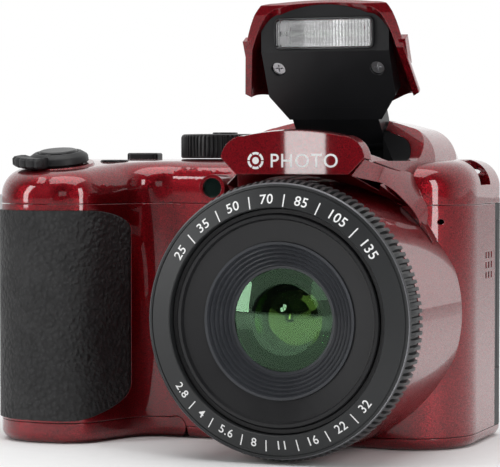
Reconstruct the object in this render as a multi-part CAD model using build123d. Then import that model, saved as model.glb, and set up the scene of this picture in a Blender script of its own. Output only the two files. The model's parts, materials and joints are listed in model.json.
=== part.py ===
from build123d import *
import math
import os

# Compact digital camera with a long zoom lens and a pop-up flash. Millimetres.
# The front faces -Y, +X is to the right as seen from the front, +Z is up.
# The origin is the mouth of the tripod socket, in the base plane.

# ---- Body ----
BODY_WIDTH = 114.0
DECK_HEIGHT = 68.0          # crest of the top deck
BODY_REAR = 25.0            # rear face, Y
GRIP_DEPTH = 61.0           # rear face to the grip's front
GRIP_WIDTH = 25.5           # left side to the grip's front right corner
GRIP_ROOT = 33.5            # left side to where the grip meets the front face
WAIST_DEPTH = 38.0          # rear face to the front face beside the grip
SHOULDER_DEPTH = 45.5       # rear face to the front face at the right side
REAR_CORNER = 7.0
GRIP_CORNERS = (14.0, 11.0)
GRIP_HOLLOW = 9.0
SHOULDER_CORNER = 16.0
DECK_RADIUS = 254.0
DECK_CREST_Y = 8.0
TOP_ROUND = 6.5
BASE_ROUND = 2.5
WALL = 2.0
SKIN_SUNK = 0.7             # depth of the pocket that the grip's rubber lies in
SKIN_PROUD = 0.5            # the rubber stands this far out of it

# ---- Seams between the covers ----
SEAM = 0.15                 # open width of every seam
TOP_COVER_DEPTH = 10.8      # deck crest down to the top cover's seam
REAR_COVER_DEPTH = 10.6     # rear face forward to the side seam
BASE_HEIGHT = 2.8
DOOR_HEIGHT = 4.9
LIP = 0.6                   # inner lip that backs a seam
LIP_CLEARANCE = 0.1

# ---- Lens ----
LENS_FROM_RIGHT = 33.0
LENS_Z = 32.0
RING_RADIUS = 31.5
RING_FRONT = -50.8
RING_REAR = -43.0
COLLAR_FRONT_RADIUS = 30.7
COLLAR_REAR_RADIUS = 31.9
COLLAR_REAR = -12.0
COLLAR_WALL = 2.2
HOUSING_RADIUS = 26.9
HOUSING_REAR = 8.0
BARREL_RADIUS = 25.0        # rear, larger zoom barrel
BARREL_WALL = 0.9
FRONT_BARREL_WALL = 1.3
SLIDE_CLEARANCE = 0.15
LENS_FACE = -51.0           # front lip of the zoom barrel when retracted
RIDGE_RADIUS = 17.7
GLASS_RADIUS = 11.6
FIT = 0.05                  # clearance of parts that are seated in each other

# ---- Hump over the lens, heights above the deck crest ----
# y, half width, side top, shoulder middle, shoulder end, crown
HUMP_SECTIONS = (
    (-41.0, 17.2, -0.4, (16.0, 3.3), (11.5, 5.3), 6.5),
    (-6.0, 23.6, 0.0, (22.1, 4.5), (17.0, 7.6), 10.3),
    (13.0, 23.6, -0.4, (22.0, 4.2), (17.0, 7.3), 9.8),
    (18.5, 22.6, -0.6, (21.0, 3.0), (16.5, 5.2), 7.0),
    (21.5, 21.0, -3.0, (19.0, -1.6), (15.0, -0.9), -0.4),
)
VISOR_GAP = 0.9             # ring to the visor's underside
HOOD_ANGLE = 110.0
HOOD_SHIFT = 5.4
WELL_FRONT = -37.8
WELL_FLOOR = -0.4           # above the deck crest
WELL_WALL = 1.2

# ---- Flash, drawn shut and then turned open ----
FLASH_OPEN_ANGLE = 62.0
FLASH_HINGE_Y = -1.8
FLASH_HINGE_RISE = 5.2      # above the deck crest
FLASH_SKIN = 1.4
FLASH_GAP = 0.4
FLASH_ARM_HALF = 10.8
FLASH_SLOT_HALF = 11.2
FLASH_HEAD_HALF = 15.8
HEAD_TAPER = (-15.5, -7.6)  # Y where the head starts to narrow, and where it is as narrow as its arm
COVER_TAPER_FORWARD = 2.2   # the cover narrows this much nearer to the front than the panel
COVER_LIP = 0.7             # the cover's edge stands this far proud of the panel's face
VISOR_CHAMFER = 3.7
FLASH_WINDOW_WIDTH = 23.6
FLASH_WINDOW_HEIGHT = 6.4
PIN_RADIUS = 1.0
PIN_CLEARANCE = 0.04
HINGE_BOSS = 2.0            # length of each bearing beside the arm

# ---- Controls ----
DIAL_RADIUS = 11.1
DIAL_HEIGHT = 5.9
DIAL_Y = 9.6
DIAL_FROM_LENS = 35.8
LEVER_FROM_LEFT = 13.0
LEVER_Y = -20.0
LEVER_TILT = 9.0
LEVER_RADIUS = 7.4
SHUTTER_RADIUS = 4.8
BUTTON_GAP = 0.12
BUTTON_TRAVEL = 0.6
BUTTON_COLUMN = 23.0        # left side to the two small top buttons
PAD_FROM_LEFT = 20.0
PAD_Z = 27.0
PAD_RADIUS = 9.0

# ---- Power ----
CELL_RADIUS = 7.25
CELL_LENGTH = 50.5
CELL_PITCH = 15.2
CELL_CLEARANCE = 0.15
CELL_BASE = 5.6
CELL_FROM_LEFT = 11.0
CELL_FRONT_Y = -5.6
CASE_WALL = 0.7
DOOR_HINGE_FROM_LEFT = 41.4
DOOR_HINGE_Z = 2.6
DOOR_EDGE = 2.6
DOOR_SWING_GAP = 0.5        # base plate to the door's underside when the door hangs open
DOOR_PIN_RADIUS = 0.7
EAR_WIDTH = 3.2
CARD = (2.1, 24.0, 32.0)    # thickness, width, length of the memory card

# ---- Screen and boards ----
SCREEN_WIDTH = 70.0
SCREEN_HEIGHT = 50.0
SCREEN_RIGHT_MARGIN = 4.0
SCREEN_Z = 31.2
BOARD = 1.0
CHASSIS_Y = 11.6
MAIN_BOARD_Y = 13.9
PANEL_DEPTH = 3.2

# ---- Tripod socket ----
SOCKET_RADIUS = 3.175
SOCKET_DEPTH = 6.5
SOCKET_BODY = 4.8

# ---- Sides ----
LUG_Y = 5.0
LUG_RADIUS = 1.1
LUG_HALF = 4.6
LUG_INSET = 2.9
LAMP_FROM_LENS = 25.3
LAMP_DROP = 6.8             # deck crest to the lamp tube's centre
LAMP_RADIUS = 3.2
LAMP_FRONT = -26.0
PORT_BOTTOM = 17.0
PORT_TOP = 53.0
PORT_HINGE_Y = 16.3
PORT_HINGE_INSET = 0.6      # outer face to the hinge axis
PORT_REAR_Y = 21.4
PORT_PIN_RADIUS = 0.4
SCREW_SHANK = 0.85
SCREW_HEAD = 1.9

# ---- Worked out from the sizes above ----
RIGHT = BODY_WIDTH / 2
LEFT = -RIGHT
GRIP_FRONT = BODY_REAR - GRIP_DEPTH
WAIST_Y = BODY_REAR - WAIST_DEPTH
SHOULDER_Y = BODY_REAR - SHOULDER_DEPTH
TOP_SEAM_Z = DECK_HEIGHT - TOP_COVER_DEPTH
SIDE_SEAM_Y = BODY_REAR - REAR_COVER_DEPTH
LENS_X = RIGHT - LENS_FROM_RIGHT
HINGE_Z = DECK_HEIGHT + FLASH_HINGE_RISE
LEVER_X = LEFT + LEVER_FROM_LEFT
DIAL_X = LENS_X - DIAL_FROM_LENS
BUTTON_X = LEFT + BUTTON_COLUMN
CELL_X = LEFT + CELL_FROM_LEFT
DOOR_HINGE_X = LEFT + DOOR_HINGE_FROM_LEFT
LAMP_X = LENS_X - LAMP_FROM_LENS
LAMP_Z = DECK_HEIGHT - LAMP_DROP
FAR = 200.0


def block(x0, x1, y0, y1, z0, z1):
    """A box between two corners."""
    centre = Pos((x0 + x1) / 2, (y0 + y1) / 2, (z0 + z1) / 2)
    return centre * Box(x1 - x0, y1 - y0, z1 - z0)


def rod_x(radius, x0, x1, y=0.0, z=0.0):
    return Pos((x0 + x1) / 2, y, z) * Rot(0, 90, 0) * Cylinder(radius, x1 - x0)


def rod_y(radius, y0, y1, x=0.0, z=0.0):
    return Pos(x, (y0 + y1) / 2, z) * Rot(90, 0, 0) * Cylinder(radius, y1 - y0)


def rod_z(radius, z0, z1, x=0.0, y=0.0):
    return Pos(x, y, (z0 + z1) / 2) * Cylinder(radius, z1 - z0)


def tube_y(outer, inner, y0, y1):
    """A tube on the lens axis."""
    return rod_y(outer, y0, y1, LENS_X, LENS_Z) - rod_y(inner, y0 - 1, y1 + 1, LENS_X, LENS_Z)


def turned_y(points):
    """A solid turned about the lens axis from (radius, y) points."""
    face = make_face(Polyline(*[(radius, y) for radius, y in points], close=True))
    return Pos(LENS_X, 0, LENS_Z) * revolve(face, Axis.Y)


def slab_x(points, x0, x1):
    """A (y, z) outline pushed along X."""
    face = Plane.YZ * make_face(Polyline(*points, close=True))
    return Pos(x0, 0, 0) * extrude(face, amount=x1 - x0)


def slab_z(points, z0, z1):
    """An (x, y) outline pushed along Z."""
    face = make_face(Polyline(*points, close=True))
    return Pos(0, 0, z0) * extrude(face, amount=z1 - z0)


def slab_y(width, height, corner, y0, y1, x, z):
    """A plate with round corners that faces along Y."""
    face = Plane.XZ * RectangleRounded(width, height, corner)
    return Pos(x, y1, z) * extrude(face, amount=y1 - y0)


def group(solids):
    return Compound(children=list(solids))


def deck_z(y):
    """Height of the deck's surface at a given Y."""
    return DECK_HEIGHT - (y - DECK_CREST_Y) ** 2 / (2 * DECK_RADIUS)


# ---- Envelope ----

def outline(inset):
    points = (
        (LEFT, BODY_REAR),
        (LEFT, GRIP_FRONT),
        (LEFT + GRIP_WIDTH, GRIP_FRONT),
        (LEFT + GRIP_ROOT, WAIST_Y),
        (RIGHT, SHOULDER_Y),
        (RIGHT, BODY_REAR),
    )
    radii = (REAR_CORNER, *GRIP_CORNERS, GRIP_HOLLOW, SHOULDER_CORNER, REAR_CORNER)
    face = make_face(FilletPolyline(*points, radius=radii, close=True).edges())
    if inset:
        face = offset(face, amount=-inset, kind=Kind.INTERSECTION)
    return face


def envelope(inset=0.0):
    """The body's outer form, or the same form drawn in by a wall."""
    blank = Pos(0, 0, inset) * extrude(outline(inset), amount=DECK_HEIGHT)
    centre_z = DECK_HEIGHT - inset - DECK_RADIUS
    roof = Pos(0, DECK_CREST_Y, centre_z) * Rot(0, 90, 0) * Cylinder(DECK_RADIUS, 2 * FAR)
    body = blank & roof
    lowest_top_edge = deck_z(GRIP_FRONT) - inset - 2.0
    crest = [edge for edge in body.edges() if edge.center().Z > lowest_top_edge and not upright(edge)]
    body = fillet(crest, TOP_ROUND - inset)
    if inset == 0:
        foot = body.edges().filter_by_position(Axis.Z, -0.01, 0.01)
        body = fillet(foot, BASE_ROUND)
    return body


def upright(edge):
    return abs(edge.tangent_at(0.5).Z) > 0.5


def hump(inset=0.0):
    """The raised housing over the lens, or the same drawn in by a wall."""
    last = len(HUMP_SECTIONS) - 1
    faces = []
    for index, (y, half, side, middle, end, crown) in enumerate(HUMP_SECTIONS):
        shift = inset if index == 0 else -inset if index == last else 0.0
        plane = Plane(origin=(LENS_X, y + shift, DECK_HEIGHT - inset), x_dir=(1, 0, 0), z_dir=(0, -1, 0))
        faces.append(plane * hump_face(half - inset, side, shrink(middle, inset), shrink(end, inset), crown))
    return loft(faces, ruled=True)


def shrink(point, inset):
    return (point[0] - inset, point[1])


def hump_face(half, side, middle, end, crown):
    low = -TOP_COVER_DEPTH - 2.0
    right_shoulder = ThreePointArc((half, side), middle, end)
    crest = ThreePointArc(end, (0, crown), (-end[0], end[1]))
    left_shoulder = ThreePointArc((-end[0], end[1]), (-middle[0], middle[1]), (-half, side))
    lines = Polyline((-half, side), (-half, low), (half, low), (half, side))
    return make_face([right_shoulder, crest, left_shoulder, *lines.edges()])


OUTER = envelope()
HOLLOW = envelope(WALL)
SHELL = OUTER - HOLLOW


def above(z):
    return block(-FAR, FAR, -FAR, FAR, z, z + 2 * FAR)


def below(z):
    return block(-FAR, FAR, -FAR, FAR, z - 2 * FAR, z)


def behind(y):
    return block(-FAR, FAR, y, y + 2 * FAR, -FAR, FAR)


def in_front_of(y):
    return block(-FAR, FAR, y - 2 * FAR, y, -FAR, FAR)


def door_zone(gap=0.0):
    """The foot of the grip that swings away, rounded about its hinge."""
    foot = block(-FAR, DOOR_HINGE_X, -FAR, FAR, -FAR, DOOR_HEIGHT + gap)
    edge = rod_y(DOOR_EDGE + gap, -FAR, FAR, DOOR_HINGE_X, DOOR_HINGE_Z)
    return foot + edge


# ---- Covers ----

def well_profile(grow=0.0):
    """Side view of the hollow that the shut flash fills."""
    floor = DECK_HEIGHT + WELL_FLOOR
    high = DECK_HEIGHT + 30.0
    slope = (10.5 + 0.4) / 14.0
    points = (
        (WELL_FRONT, high),
        (WELL_FRONT, floor),
        (-15.0, floor),
        (-15.0 + 30.4 / slope, high),
    )
    line = FilletPolyline(*points, radius=(0.5, 0.5, 5.0, 0.5), close=True)
    face = make_face(line.edges())
    if grow:
        face = offset(face, amount=grow, kind=Kind.INTERSECTION)
    return Pos(-FAR, 0, 0) * extrude(Plane.YZ * face, amount=2 * FAR)


def flash_slot(grow=0.0):
    """The notch in the rear of the hump that the flash's arm turns in."""
    half = FLASH_SLOT_HALF + grow
    rear = FLASH_HINGE_Y + 6.4
    floor = DECK_HEIGHT + WELL_FLOOR
    return block(LENS_X - half, LENS_X + half, -16.0, rear + grow, floor - grow, floor + 40.0)


def neck_room(grow=0.0):
    """The tapering hollow under the shut head's foot, in front of the hinge."""
    wide = FLASH_HEAD_HALF + FLASH_GAP + grow
    narrow = FLASH_SLOT_HALF + grow
    front, rear = HEAD_TAPER
    points = (
        (LENS_X - wide, front - 1.0), (LENS_X - wide, front), (LENS_X - narrow, rear + grow),
        (LENS_X + narrow, rear + grow), (LENS_X + wide, front), (LENS_X + wide, front - 1.0),
    )
    return slab_z(points, DECK_HEIGHT + WELL_FLOOR - grow, HINGE_Z)


def well_room(grow=0.0):
    return well_profile(grow) + flash_slot(grow) + neck_room(grow)


def visor_clearance():
    """Space kept free for the lens ring under the visor."""
    top = LENS_Z + RING_RADIUS + VISOR_GAP
    foot = TOP_SEAM_Z
    points = ((-FAR, 0), (-FAR, top + 0.2), (-40.0, top + 0.2), (-20.0, foot), (-20.0, 0))
    room = slab_x(points, -FAR, FAR) + rod_y(RING_RADIUS + VISOR_GAP, -FAR, -20.5, LENS_X, LENS_Z)
    for side in (-1, 1):
        corner = Pos(LENS_X + side * HUMP_SECTIONS[0][1], -30.0, top + 0.2) * Rot(0, 45, 0)
        room += corner * Box(VISOR_CHAMFER * math.sqrt(2), 30.0, VISOR_CHAMFER * math.sqrt(2))
    return room


def collar_cone(grow=0.0):
    """The collar's outer form, solid."""
    return turned_y((
        (0, RING_REAR),
        (COLLAR_FRONT_RADIUS + grow, RING_REAR),
        (COLLAR_REAR_RADIUS + grow, COLLAR_REAR),
        (0, COLLAR_REAR),
    ))


def hood():
    """A fin that runs from the visor down the collar's upper right and thins to a point."""
    lean = math.radians(HOOD_ANGLE)
    x = LENS_X + HOOD_SHIFT * math.cos(lean)
    z = LENS_Z + HOOD_SHIFT * math.sin(lean)
    disc = rod_y(COLLAR_FRONT_RADIUS + 0.4, -41.0, -14.0, x, z)
    crown = LENS_Z + 35.0
    side = slab_x(((-41, crown + 8), (-41, crown), (-25, crown - 18.5), (-10, crown - 23), (-10, crown + 8)), -FAR, FAR)
    fin = disc & side & block(LENS_X + 6.0, FAR, -FAR, FAR, -FAR, FAR)
    return fin - visor_clearance() - collar_cone(FIT)


def raised_form():
    """The hump and its fin, outside the body and clear of the lens."""
    return (hump() - visor_clearance() - collar_cone(FIT)) + hood()


def lever_frame():
    return Pos(LEVER_X, LEVER_Y, deck_z(LEVER_Y) - 0.2) * Rot(LEVER_TILT, 0, 0)


def lug_pocket(side):
    ends = sorted((side * (RIGHT - LUG_INSET - 2.2), side * (RIGHT + 5)))
    return block(*ends, LUG_Y - LUG_HALF, LUG_Y + LUG_HALF, DECK_HEIGHT - 6.2, DECK_HEIGHT + 10)


def lug_backing(side):
    ends = sorted((side * (RIGHT - LUG_INSET - 3.8), side * RIGHT))
    walls = block(*ends, LUG_Y - LUG_HALF - 1.4, LUG_Y + LUG_HALF + 1.4, DECK_HEIGHT - 7.8, DECK_HEIGHT + 10)
    return walls & OUTER


def lug_bar(side):
    reach = LUG_HALF + 1.0
    return rod_y(LUG_RADIUS, LUG_Y - reach, LUG_Y + reach, side * (RIGHT - LUG_INSET), DECK_HEIGHT - 3.4)


def lamp_tube():
    tube = rod_y(LAMP_RADIUS, LAMP_FRONT, -13.0, LAMP_X, LAMP_Z)
    return tube - HOLLOW


RAISED = raised_form()


def top_cover():
    zone = above(TOP_SEAM_Z + SEAM)
    skin = (OUTER + RAISED) & zone
    skin += lamp_tube()
    skin -= HOLLOW
    skin -= rod_y(HOUSING_RADIUS + FIT, -FAR, FAR, LENS_X, LENS_Z)
    under_hump = hump(WALL) & behind(-15.0) & below(DECK_HEIGHT + 9.0)
    skin -= under_hump
    skin += lug_backing(-1) + lug_backing(1)
    boss = lever_frame() * (Pos(0, 0, -0.6) * Cone(9.6, 8.6, 2.4) - Cylinder(6.5, 20))
    skin += boss & above(deck_z(LEVER_Y) - 4.0)
    skin -= well_room()
    skin -= hump(WALL - FIT) & well_room(WELL_WALL)
    for side in (-1, 1):
        skin -= lug_pocket(side)
        skin -= lug_bar(side)
    skin -= lever_frame() * Cylinder(6.08, 30)
    skin -= rod_z(2.6, 55, 90, DIAL_X, DIAL_Y)
    skin -= rod_z(3.5 + BUTTON_GAP, 55, 90, BUTTON_X, -9.0)
    bar = Pos(BUTTON_X, DIAL_Y + 0.4, DECK_HEIGHT) * Box(8.4 + 2 * BUTTON_GAP, 5.0 + 2 * BUTTON_GAP, 30)
    skin -= fillet(bar.edges().filter_by(Axis.Z), 1.2)
    skin -= rod_y(2.3 + FIT, LAMP_FRONT - 1, 0, LAMP_X, LAMP_Z)
    return largest(skin)


def largest(shape):
    return max(shape.solids(), key=lambda solid: solid.volume)


def seam_lip():
    """A thin inner band that backs the top seam, part of the covers below it."""
    root = HOLLOW & above(TOP_SEAM_Z - 2.5) & below(TOP_SEAM_Z)
    tongue = envelope(WALL + LIP_CLEARANCE) & above(TOP_SEAM_Z - 0.01) & below(TOP_SEAM_Z + 1.4)
    return (root + tongue) - envelope(WALL + LIP_CLEARANCE + LIP)


def side_lip():
    """The same band behind the side seam, part of the front cover."""
    root = HOLLOW & behind(SIDE_SEAM_Y - 2.5) & in_front_of(SIDE_SEAM_Y - SEAM)
    tongue = envelope(WALL + LIP_CLEARANCE) & behind(SIDE_SEAM_Y - SEAM - 0.01)
    band = (root + (tongue & in_front_of(SIDE_SEAM_Y + 1.4))) - envelope(WALL + LIP_CLEARANCE + LIP)
    return band & above(DOOR_HEIGHT + SEAM) & below(TOP_SEAM_Z - 3.0)


LIPS = seam_lip()


def speaker_slots():
    cuts = []
    for row in range(3):
        for column in range(3):
            y = 5.7 + 2.5 * column
            z = LENS_Z + 8.1 + 2.4 * row
            cuts.append(block(RIGHT - 4, RIGHT + 1, y - 0.55, y + 0.55, z - 0.8, z + 0.8))
    return cuts


def skin_zone():
    """Front view of the rubber grip skin."""
    right = LEFT + 31.6
    bottom = DOOR_HEIGHT + 0.7
    top = TOP_SEAM_Z - 1.5
    points = ((-FAR, bottom), (right, bottom), (right, top), (-FAR, top))
    line = FilletPolyline(*points, radius=(1.0, 8.0, 5.0, 1.0), close=True)
    face = Plane.XZ * make_face(line.edges())
    return Pos(0, SIDE_SEAM_Y - 1.2, 0) * extrude(face, amount=FAR)


SKIN_ZONE = skin_zone()


def upright_wall(outer, inner):
    """A band between two offsets of the outline, the full height of the body."""
    band = extrude(outline(outer), amount=DECK_HEIGHT) - extrude(outline(inner), amount=DECK_HEIGHT)
    return band


def grip_skin():
    return largest(upright_wall(-SKIN_PROUD, SKIN_SUNK) & SKIN_ZONE)


def front_cover():
    skin = ((OUTER + RAISED) - HOLLOW) - above(TOP_SEAM_Z) - behind(SIDE_SEAM_Y - SEAM)
    skin -= below(BASE_HEIGHT + SEAM)
    skin -= door_zone(SEAM)
    skin += (LIPS & in_front_of(SIDE_SEAM_Y - SEAM)) + side_lip()
    skin -= rod_y(HOUSING_RADIUS + FIT, -FAR, 0, LENS_X, LENS_Z)
    skin -= upright_wall(-SKIN_PROUD - 1, SKIN_SUNK) & SKIN_ZONE
    for cut in speaker_slots():
        skin -= cut
    skin -= rod_y(0.65, -FAR, 0, RIGHT - 5.5, TOP_SEAM_Z - 3.8)
    return largest(skin)


def screen_hole(margin, y0, y1):
    x = RIGHT - SCREEN_RIGHT_MARGIN - SCREEN_WIDTH / 2
    return slab_y(SCREEN_WIDTH + 2 * margin, SCREEN_HEIGHT + 2 * margin, 1.5, y0, y1, x, SCREEN_Z)


def rear_buttons():
    """Name, x, z and radius of each small round button on the back."""
    x = LEFT + PAD_FROM_LEFT
    return (
        ("menu_button", x + 9.0, PAD_Z + 16.0, 2.6),
        ("playback_button", x - 9.0, PAD_Z + 16.0, 2.6),
        ("delete_button", x - 9.0, PAD_Z - 15.5, 2.6),
        ("record_button", x, PAD_Z + 23.0, 3.0),
    )


def rear_cover():
    skin = (SHELL & behind(SIDE_SEAM_Y)) - above(TOP_SEAM_Z) - below(BASE_HEIGHT + SEAM)
    skin -= door_zone(SEAM)
    skin += LIPS & behind(SIDE_SEAM_Y + 1.6)
    skin += port_bay()
    skin -= screen_hole(0.1, BODY_REAR - 1.2, BODY_REAR + 1)
    skin -= screen_hole(-3.2, BODY_REAR - 5, BODY_REAR + 1)
    for _, x, z, radius in rear_buttons():
        skin -= rod_y(radius + BUTTON_GAP, BODY_REAR - 5, BODY_REAR + 1, x, z)
    skin -= rod_y(PAD_RADIUS + BUTTON_GAP, BODY_REAR - 5, BODY_REAR + 1, LEFT + PAD_FROM_LEFT, PAD_Z)
    skin -= port_zone(SEAM) + port_swing_room()
    skin -= port_pin(PORT_PIN_RADIUS + PIN_CLEARANCE, 1.2)
    return largest(skin)


def base_plate():
    skin = (SHELL & below(BASE_HEIGHT)) - door_zone(SEAM)
    swing_room = DOOR_HINGE_X + DOOR_EDGE + DOOR_SWING_GAP
    skin -= block(DOOR_HINGE_X, swing_room, -FAR, FAR, -1, DOOR_HINGE_Z)
    for y0, y1 in hinge_ears():
        root = block(DOOR_HINGE_X, DOOR_HINGE_X + DOOR_EDGE + 1.5, y0, y1, 0.15, DOOR_HINGE_Z + 1.6)
        skin += root + knuckle(DOOR_EDGE - SEAM, y0, y1)
    skin -= pin_bore()
    skin -= rod_z(SOCKET_BODY + FIT, -1, 5)
    for x, y in screw_places():
        skin -= rod_z(SCREW_SHANK + 0.2, -1, 5, x, y)
        skin -= rod_z(SCREW_HEAD + 0.15, -1, 1.2, x, y)
    return largest(skin)


# ---- Lens ----

def lens_collar():
    inner = HOUSING_RADIUS + FIT
    inside = turned_y((
        (inner, RING_REAR + COLLAR_WALL),
        (COLLAR_FRONT_RADIUS - COLLAR_WALL, RING_REAR + COLLAR_WALL),
        (COLLAR_REAR_RADIUS - COLLAR_WALL, COLLAR_REAR + 1),
        (inner, COLLAR_REAR + 1),
    ))
    bore = rod_y(inner, -FAR, FAR, LENS_X, LENS_Z)
    return largest(collar_cone() - bore - inside - OUTER)


def lens_ring():
    mouth = BARREL_RADIUS + 0.3
    return turned_y((
        (HOUSING_RADIUS + FIT, RING_REAR),
        (RING_RADIUS, RING_REAR),
        (RING_RADIUS, RING_FRONT + 0.6),
        (RING_RADIUS - 0.8, RING_FRONT),
        (mouth, RING_FRONT - 1.4),
        (mouth, RING_FRONT + 3.0),
        (HOUSING_RADIUS + FIT, RING_FRONT + 3.0),
    ))


def lens_housing():
    """The fixed barrel: an outer tube, a rear wall and a sensor mount."""
    bore = BARREL_RADIUS + SLIDE_CLEARANCE
    front = RING_FRONT + 3.0 + FIT
    shell = turned_y((
        (bore, front),
        (HOUSING_RADIUS, front),
        (HOUSING_RADIUS, 0.0),
        (24.0, HOUSING_REAR),
        (9.0, HOUSING_REAR),
        (9.0, HOUSING_REAR - 1.6),
        (22.5, HOUSING_REAR - 1.6),
        (bore, 0.0),
    ))
    return shell


def guide_rods():
    rods = []
    for side in (-1, 1):
        rods.append(rod_y(0.9, -7.5, HOUSING_REAR - 1.6, LENS_X + side * 14.0, LENS_Z))
    return group(rods)


def focus_lens():
    glass = turned_y(((0, -4.5), (5.0, -4.2), (8.5, -3.2), (8.5, -1.6), (4.0, -1.0), (0, -0.8)))
    carrier = turned_y(((8.5, -3.4), (16.2, -3.4), (16.2, -1.6), (8.5, -1.6)))
    carrier &= block(LENS_X - 17, LENS_X + 17, -5, 0, LENS_Z - 9.6, LENS_Z + 9.6)
    for side in (-1, 1):
        carrier -= rod_y(0.95, -9, 9, LENS_X + side * 14.0, LENS_Z)
    return glass + carrier


def zoom_barrel_rear():
    inner = BARREL_RADIUS - BARREL_WALL
    return turned_y((
        (inner, LENS_FACE + 0.7),
        (BARREL_RADIUS, LENS_FACE + 0.7),
        (BARREL_RADIUS, -8.6),
        (inner, -8.6),
    ))


def zoom_barrel_front():
    outer = BARREL_RADIUS - BARREL_WALL - SLIDE_CLEARANCE
    inner = outer - FRONT_BARREL_WALL
    seat = RIDGE_RADIUS + FIT
    return turned_y((
        (inner, -10.0),
        (outer, -10.0),
        (outer, LENS_FACE + 0.3),
        (outer - 0.3, LENS_FACE),
        (outer - 1.0, LENS_FACE),
        (outer - 1.4, LENS_FACE + 0.9),
        (seat, LENS_FACE + 1.6),
        (seat, LENS_FACE + 5.0),
        (inner, LENS_FACE + 5.0),
    ))


def ridge_ring():
    """Stepped light trap that holds the front glass."""
    steps = 6
    run = (RIDGE_RADIUS - GLASS_RADIUS - 0.6) / steps
    points = [(RIDGE_RADIUS, LENS_FACE + 5.0), (RIDGE_RADIUS, LENS_FACE + 1.2)]
    for step in range(steps):
        radius = RIDGE_RADIUS - run * (step + 1)
        y = LENS_FACE + 1.2 + 0.45 * step
        points.append((radius + 0.35 * run, y))
        points.append((radius, y + 0.75))
    seat = GLASS_RADIUS + FIT
    points += [(seat, LENS_FACE + 4.3), (seat, LENS_FACE + 6.4), (seat + 1.4, LENS_FACE + 6.4)]
    points.append((seat + 1.4, LENS_FACE + 5.0))
    return turned_y(points)


def lens_ball(rim_radius, sag, y, side):
    """A ball whose cap of the given height has the given rim; side -1 bulges to the front."""
    radius = (rim_radius ** 2 + sag ** 2) / (2 * sag)
    return Pos(LENS_X, y - side * radius, LENS_Z) * Sphere(radius)


def front_lens():
    rim = LENS_FACE + 4.4
    disc = rod_y(GLASS_RADIUS, rim - 1.6, rim + 1.9, LENS_X, LENS_Z)
    return (disc & lens_ball(GLASS_RADIUS, 1.6, rim - 1.6, -1)) - lens_ball(7.9, 0.7, rim + 1.2, -1)


def glass_baffle():
    y = LENS_FACE + 6.4
    outer = RIDGE_RADIUS - 3.0
    return turned_y(((outer, y), (9.4, y + 0.1), (7.8, y + 1.6), (7.8, y + 2.4), (outer, y + 2.4)))


def second_lens():
    y = LENS_FACE + 9.0
    glass = turned_y(((0, y + 0.4), (5.0, y + 0.8), (9.0, y + 2.2), (9.0, y + 4.4), (5.0, y + 5.4), (0, y + 5.8)))
    cell = turned_y(((9.0, y), (21.6, y), (21.6, y + 5.0), (19.6, y + 5.0), (19.6, y + 1.4), (9.0, y + 4.0)))
    return glass + cell


def shutter_unit():
    """Iris and shutter in the front barrel."""
    outer = BARREL_RADIUS - BARREL_WALL - SLIDE_CLEARANCE - FRONT_BARREL_WALL - FIT
    return turned_y(((5.2, -24.0), (outer, -24.0), (outer, -20.4), (12.0, -20.4), (5.2, -21.6)))


# ---- Inside ----

def image_sensor():
    """The sensor on its small board, behind the lens housing."""
    front = HOUSING_REAR
    chip = block(LENS_X - 6.5, LENS_X + 6.5, front, front + 1.4, LENS_Z - 5.5, LENS_Z + 5.5)
    board = block(LENS_X - 13, LENS_X + 13, front + 1.4, front + 1.4 + BOARD, LENS_Z - 11, LENS_Z + 11)
    return group([chip, board])


def chassis():
    """A pressed plate behind the lens with feet for the base screws."""
    left = DOOR_HINGE_X + 3.4
    plate = block(left, RIGHT - 6.0, CHASSIS_Y, CHASSIS_Y + BOARD, BASE_HEIGHT + 0.6, TOP_SEAM_Z - 1.6)
    for x, y in screw_places():
        foot_reach = block(x - 2.4, x + 2.4, min(y - 2.4, CHASSIS_Y), CHASSIS_Y, WALL, WALL + 1.6)
        plate += foot_reach + rod_z(2.4, WALL, WALL + 3.6, x, y)
        plate += block(x - 2.4, x + 2.4, CHASSIS_Y, CHASSIS_Y + BOARD, WALL, BASE_HEIGHT + 1.0)
    plate -= tripod_clearance()
    for x, y in screw_places():
        plate -= rod_z(SCREW_SHANK, 0, WALL + 5.0, x, y)
    plate -= rod_y(4.0, CHASSIS_Y - 1, CHASSIS_Y + 3, left + 8.0, TOP_SEAM_Z - 10.0)
    return largest(plate)


def tripod_clearance():
    return rod_z(SOCKET_BODY + 1.8, -1, SOCKET_DEPTH + 6.0)


def screw_places():
    """Four screws in the base plate, clear of the lens barrel above them."""
    right = RIGHT - 7.5
    return ((-9.5, 8.6), (8.5, 8.6), (right, 8.6), (right - 16.0, 8.6))


def case_screws():
    screws = []
    for x, y in screw_places():
        head = rod_z(SCREW_HEAD, 0.35, 1.2, x, y)
        shank = rod_z(SCREW_SHANK, 1.2, WALL + 3.4, x, y)
        cross = block(x - 1.1, x + 1.1, y - 0.2, y + 0.2, 0, 0.8) + block(x - 0.2, x + 0.2, y - 1.1, y + 1.1, 0, 0.8)
        screws.append((head + shank) - cross)
    return group(screws)


def tripod_bushing():
    body = rod_z(SOCKET_BODY, 0, WALL) + rod_z(SOCKET_BODY + 1.5, WALL, SOCKET_DEPTH + 1.2)
    return body - rod_z(SOCKET_RADIUS, -1, SOCKET_DEPTH)


def main_board():
    left = DOOR_HINGE_X + 4.4
    board = block(left, RIGHT - 4.6, MAIN_BOARD_Y, MAIN_BOARD_Y + BOARD, 6.0, TOP_SEAM_Z - 5.0)
    chips = block(LENS_X - 22, LENS_X - 8, MAIN_BOARD_Y + BOARD, MAIN_BOARD_Y + BOARD + 1.4, 24, 38)
    chips += block(LENS_X - 4, LENS_X + 6, MAIN_BOARD_Y + BOARD, MAIN_BOARD_Y + BOARD + 1.0, 20, 32)
    return board + chips


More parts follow.
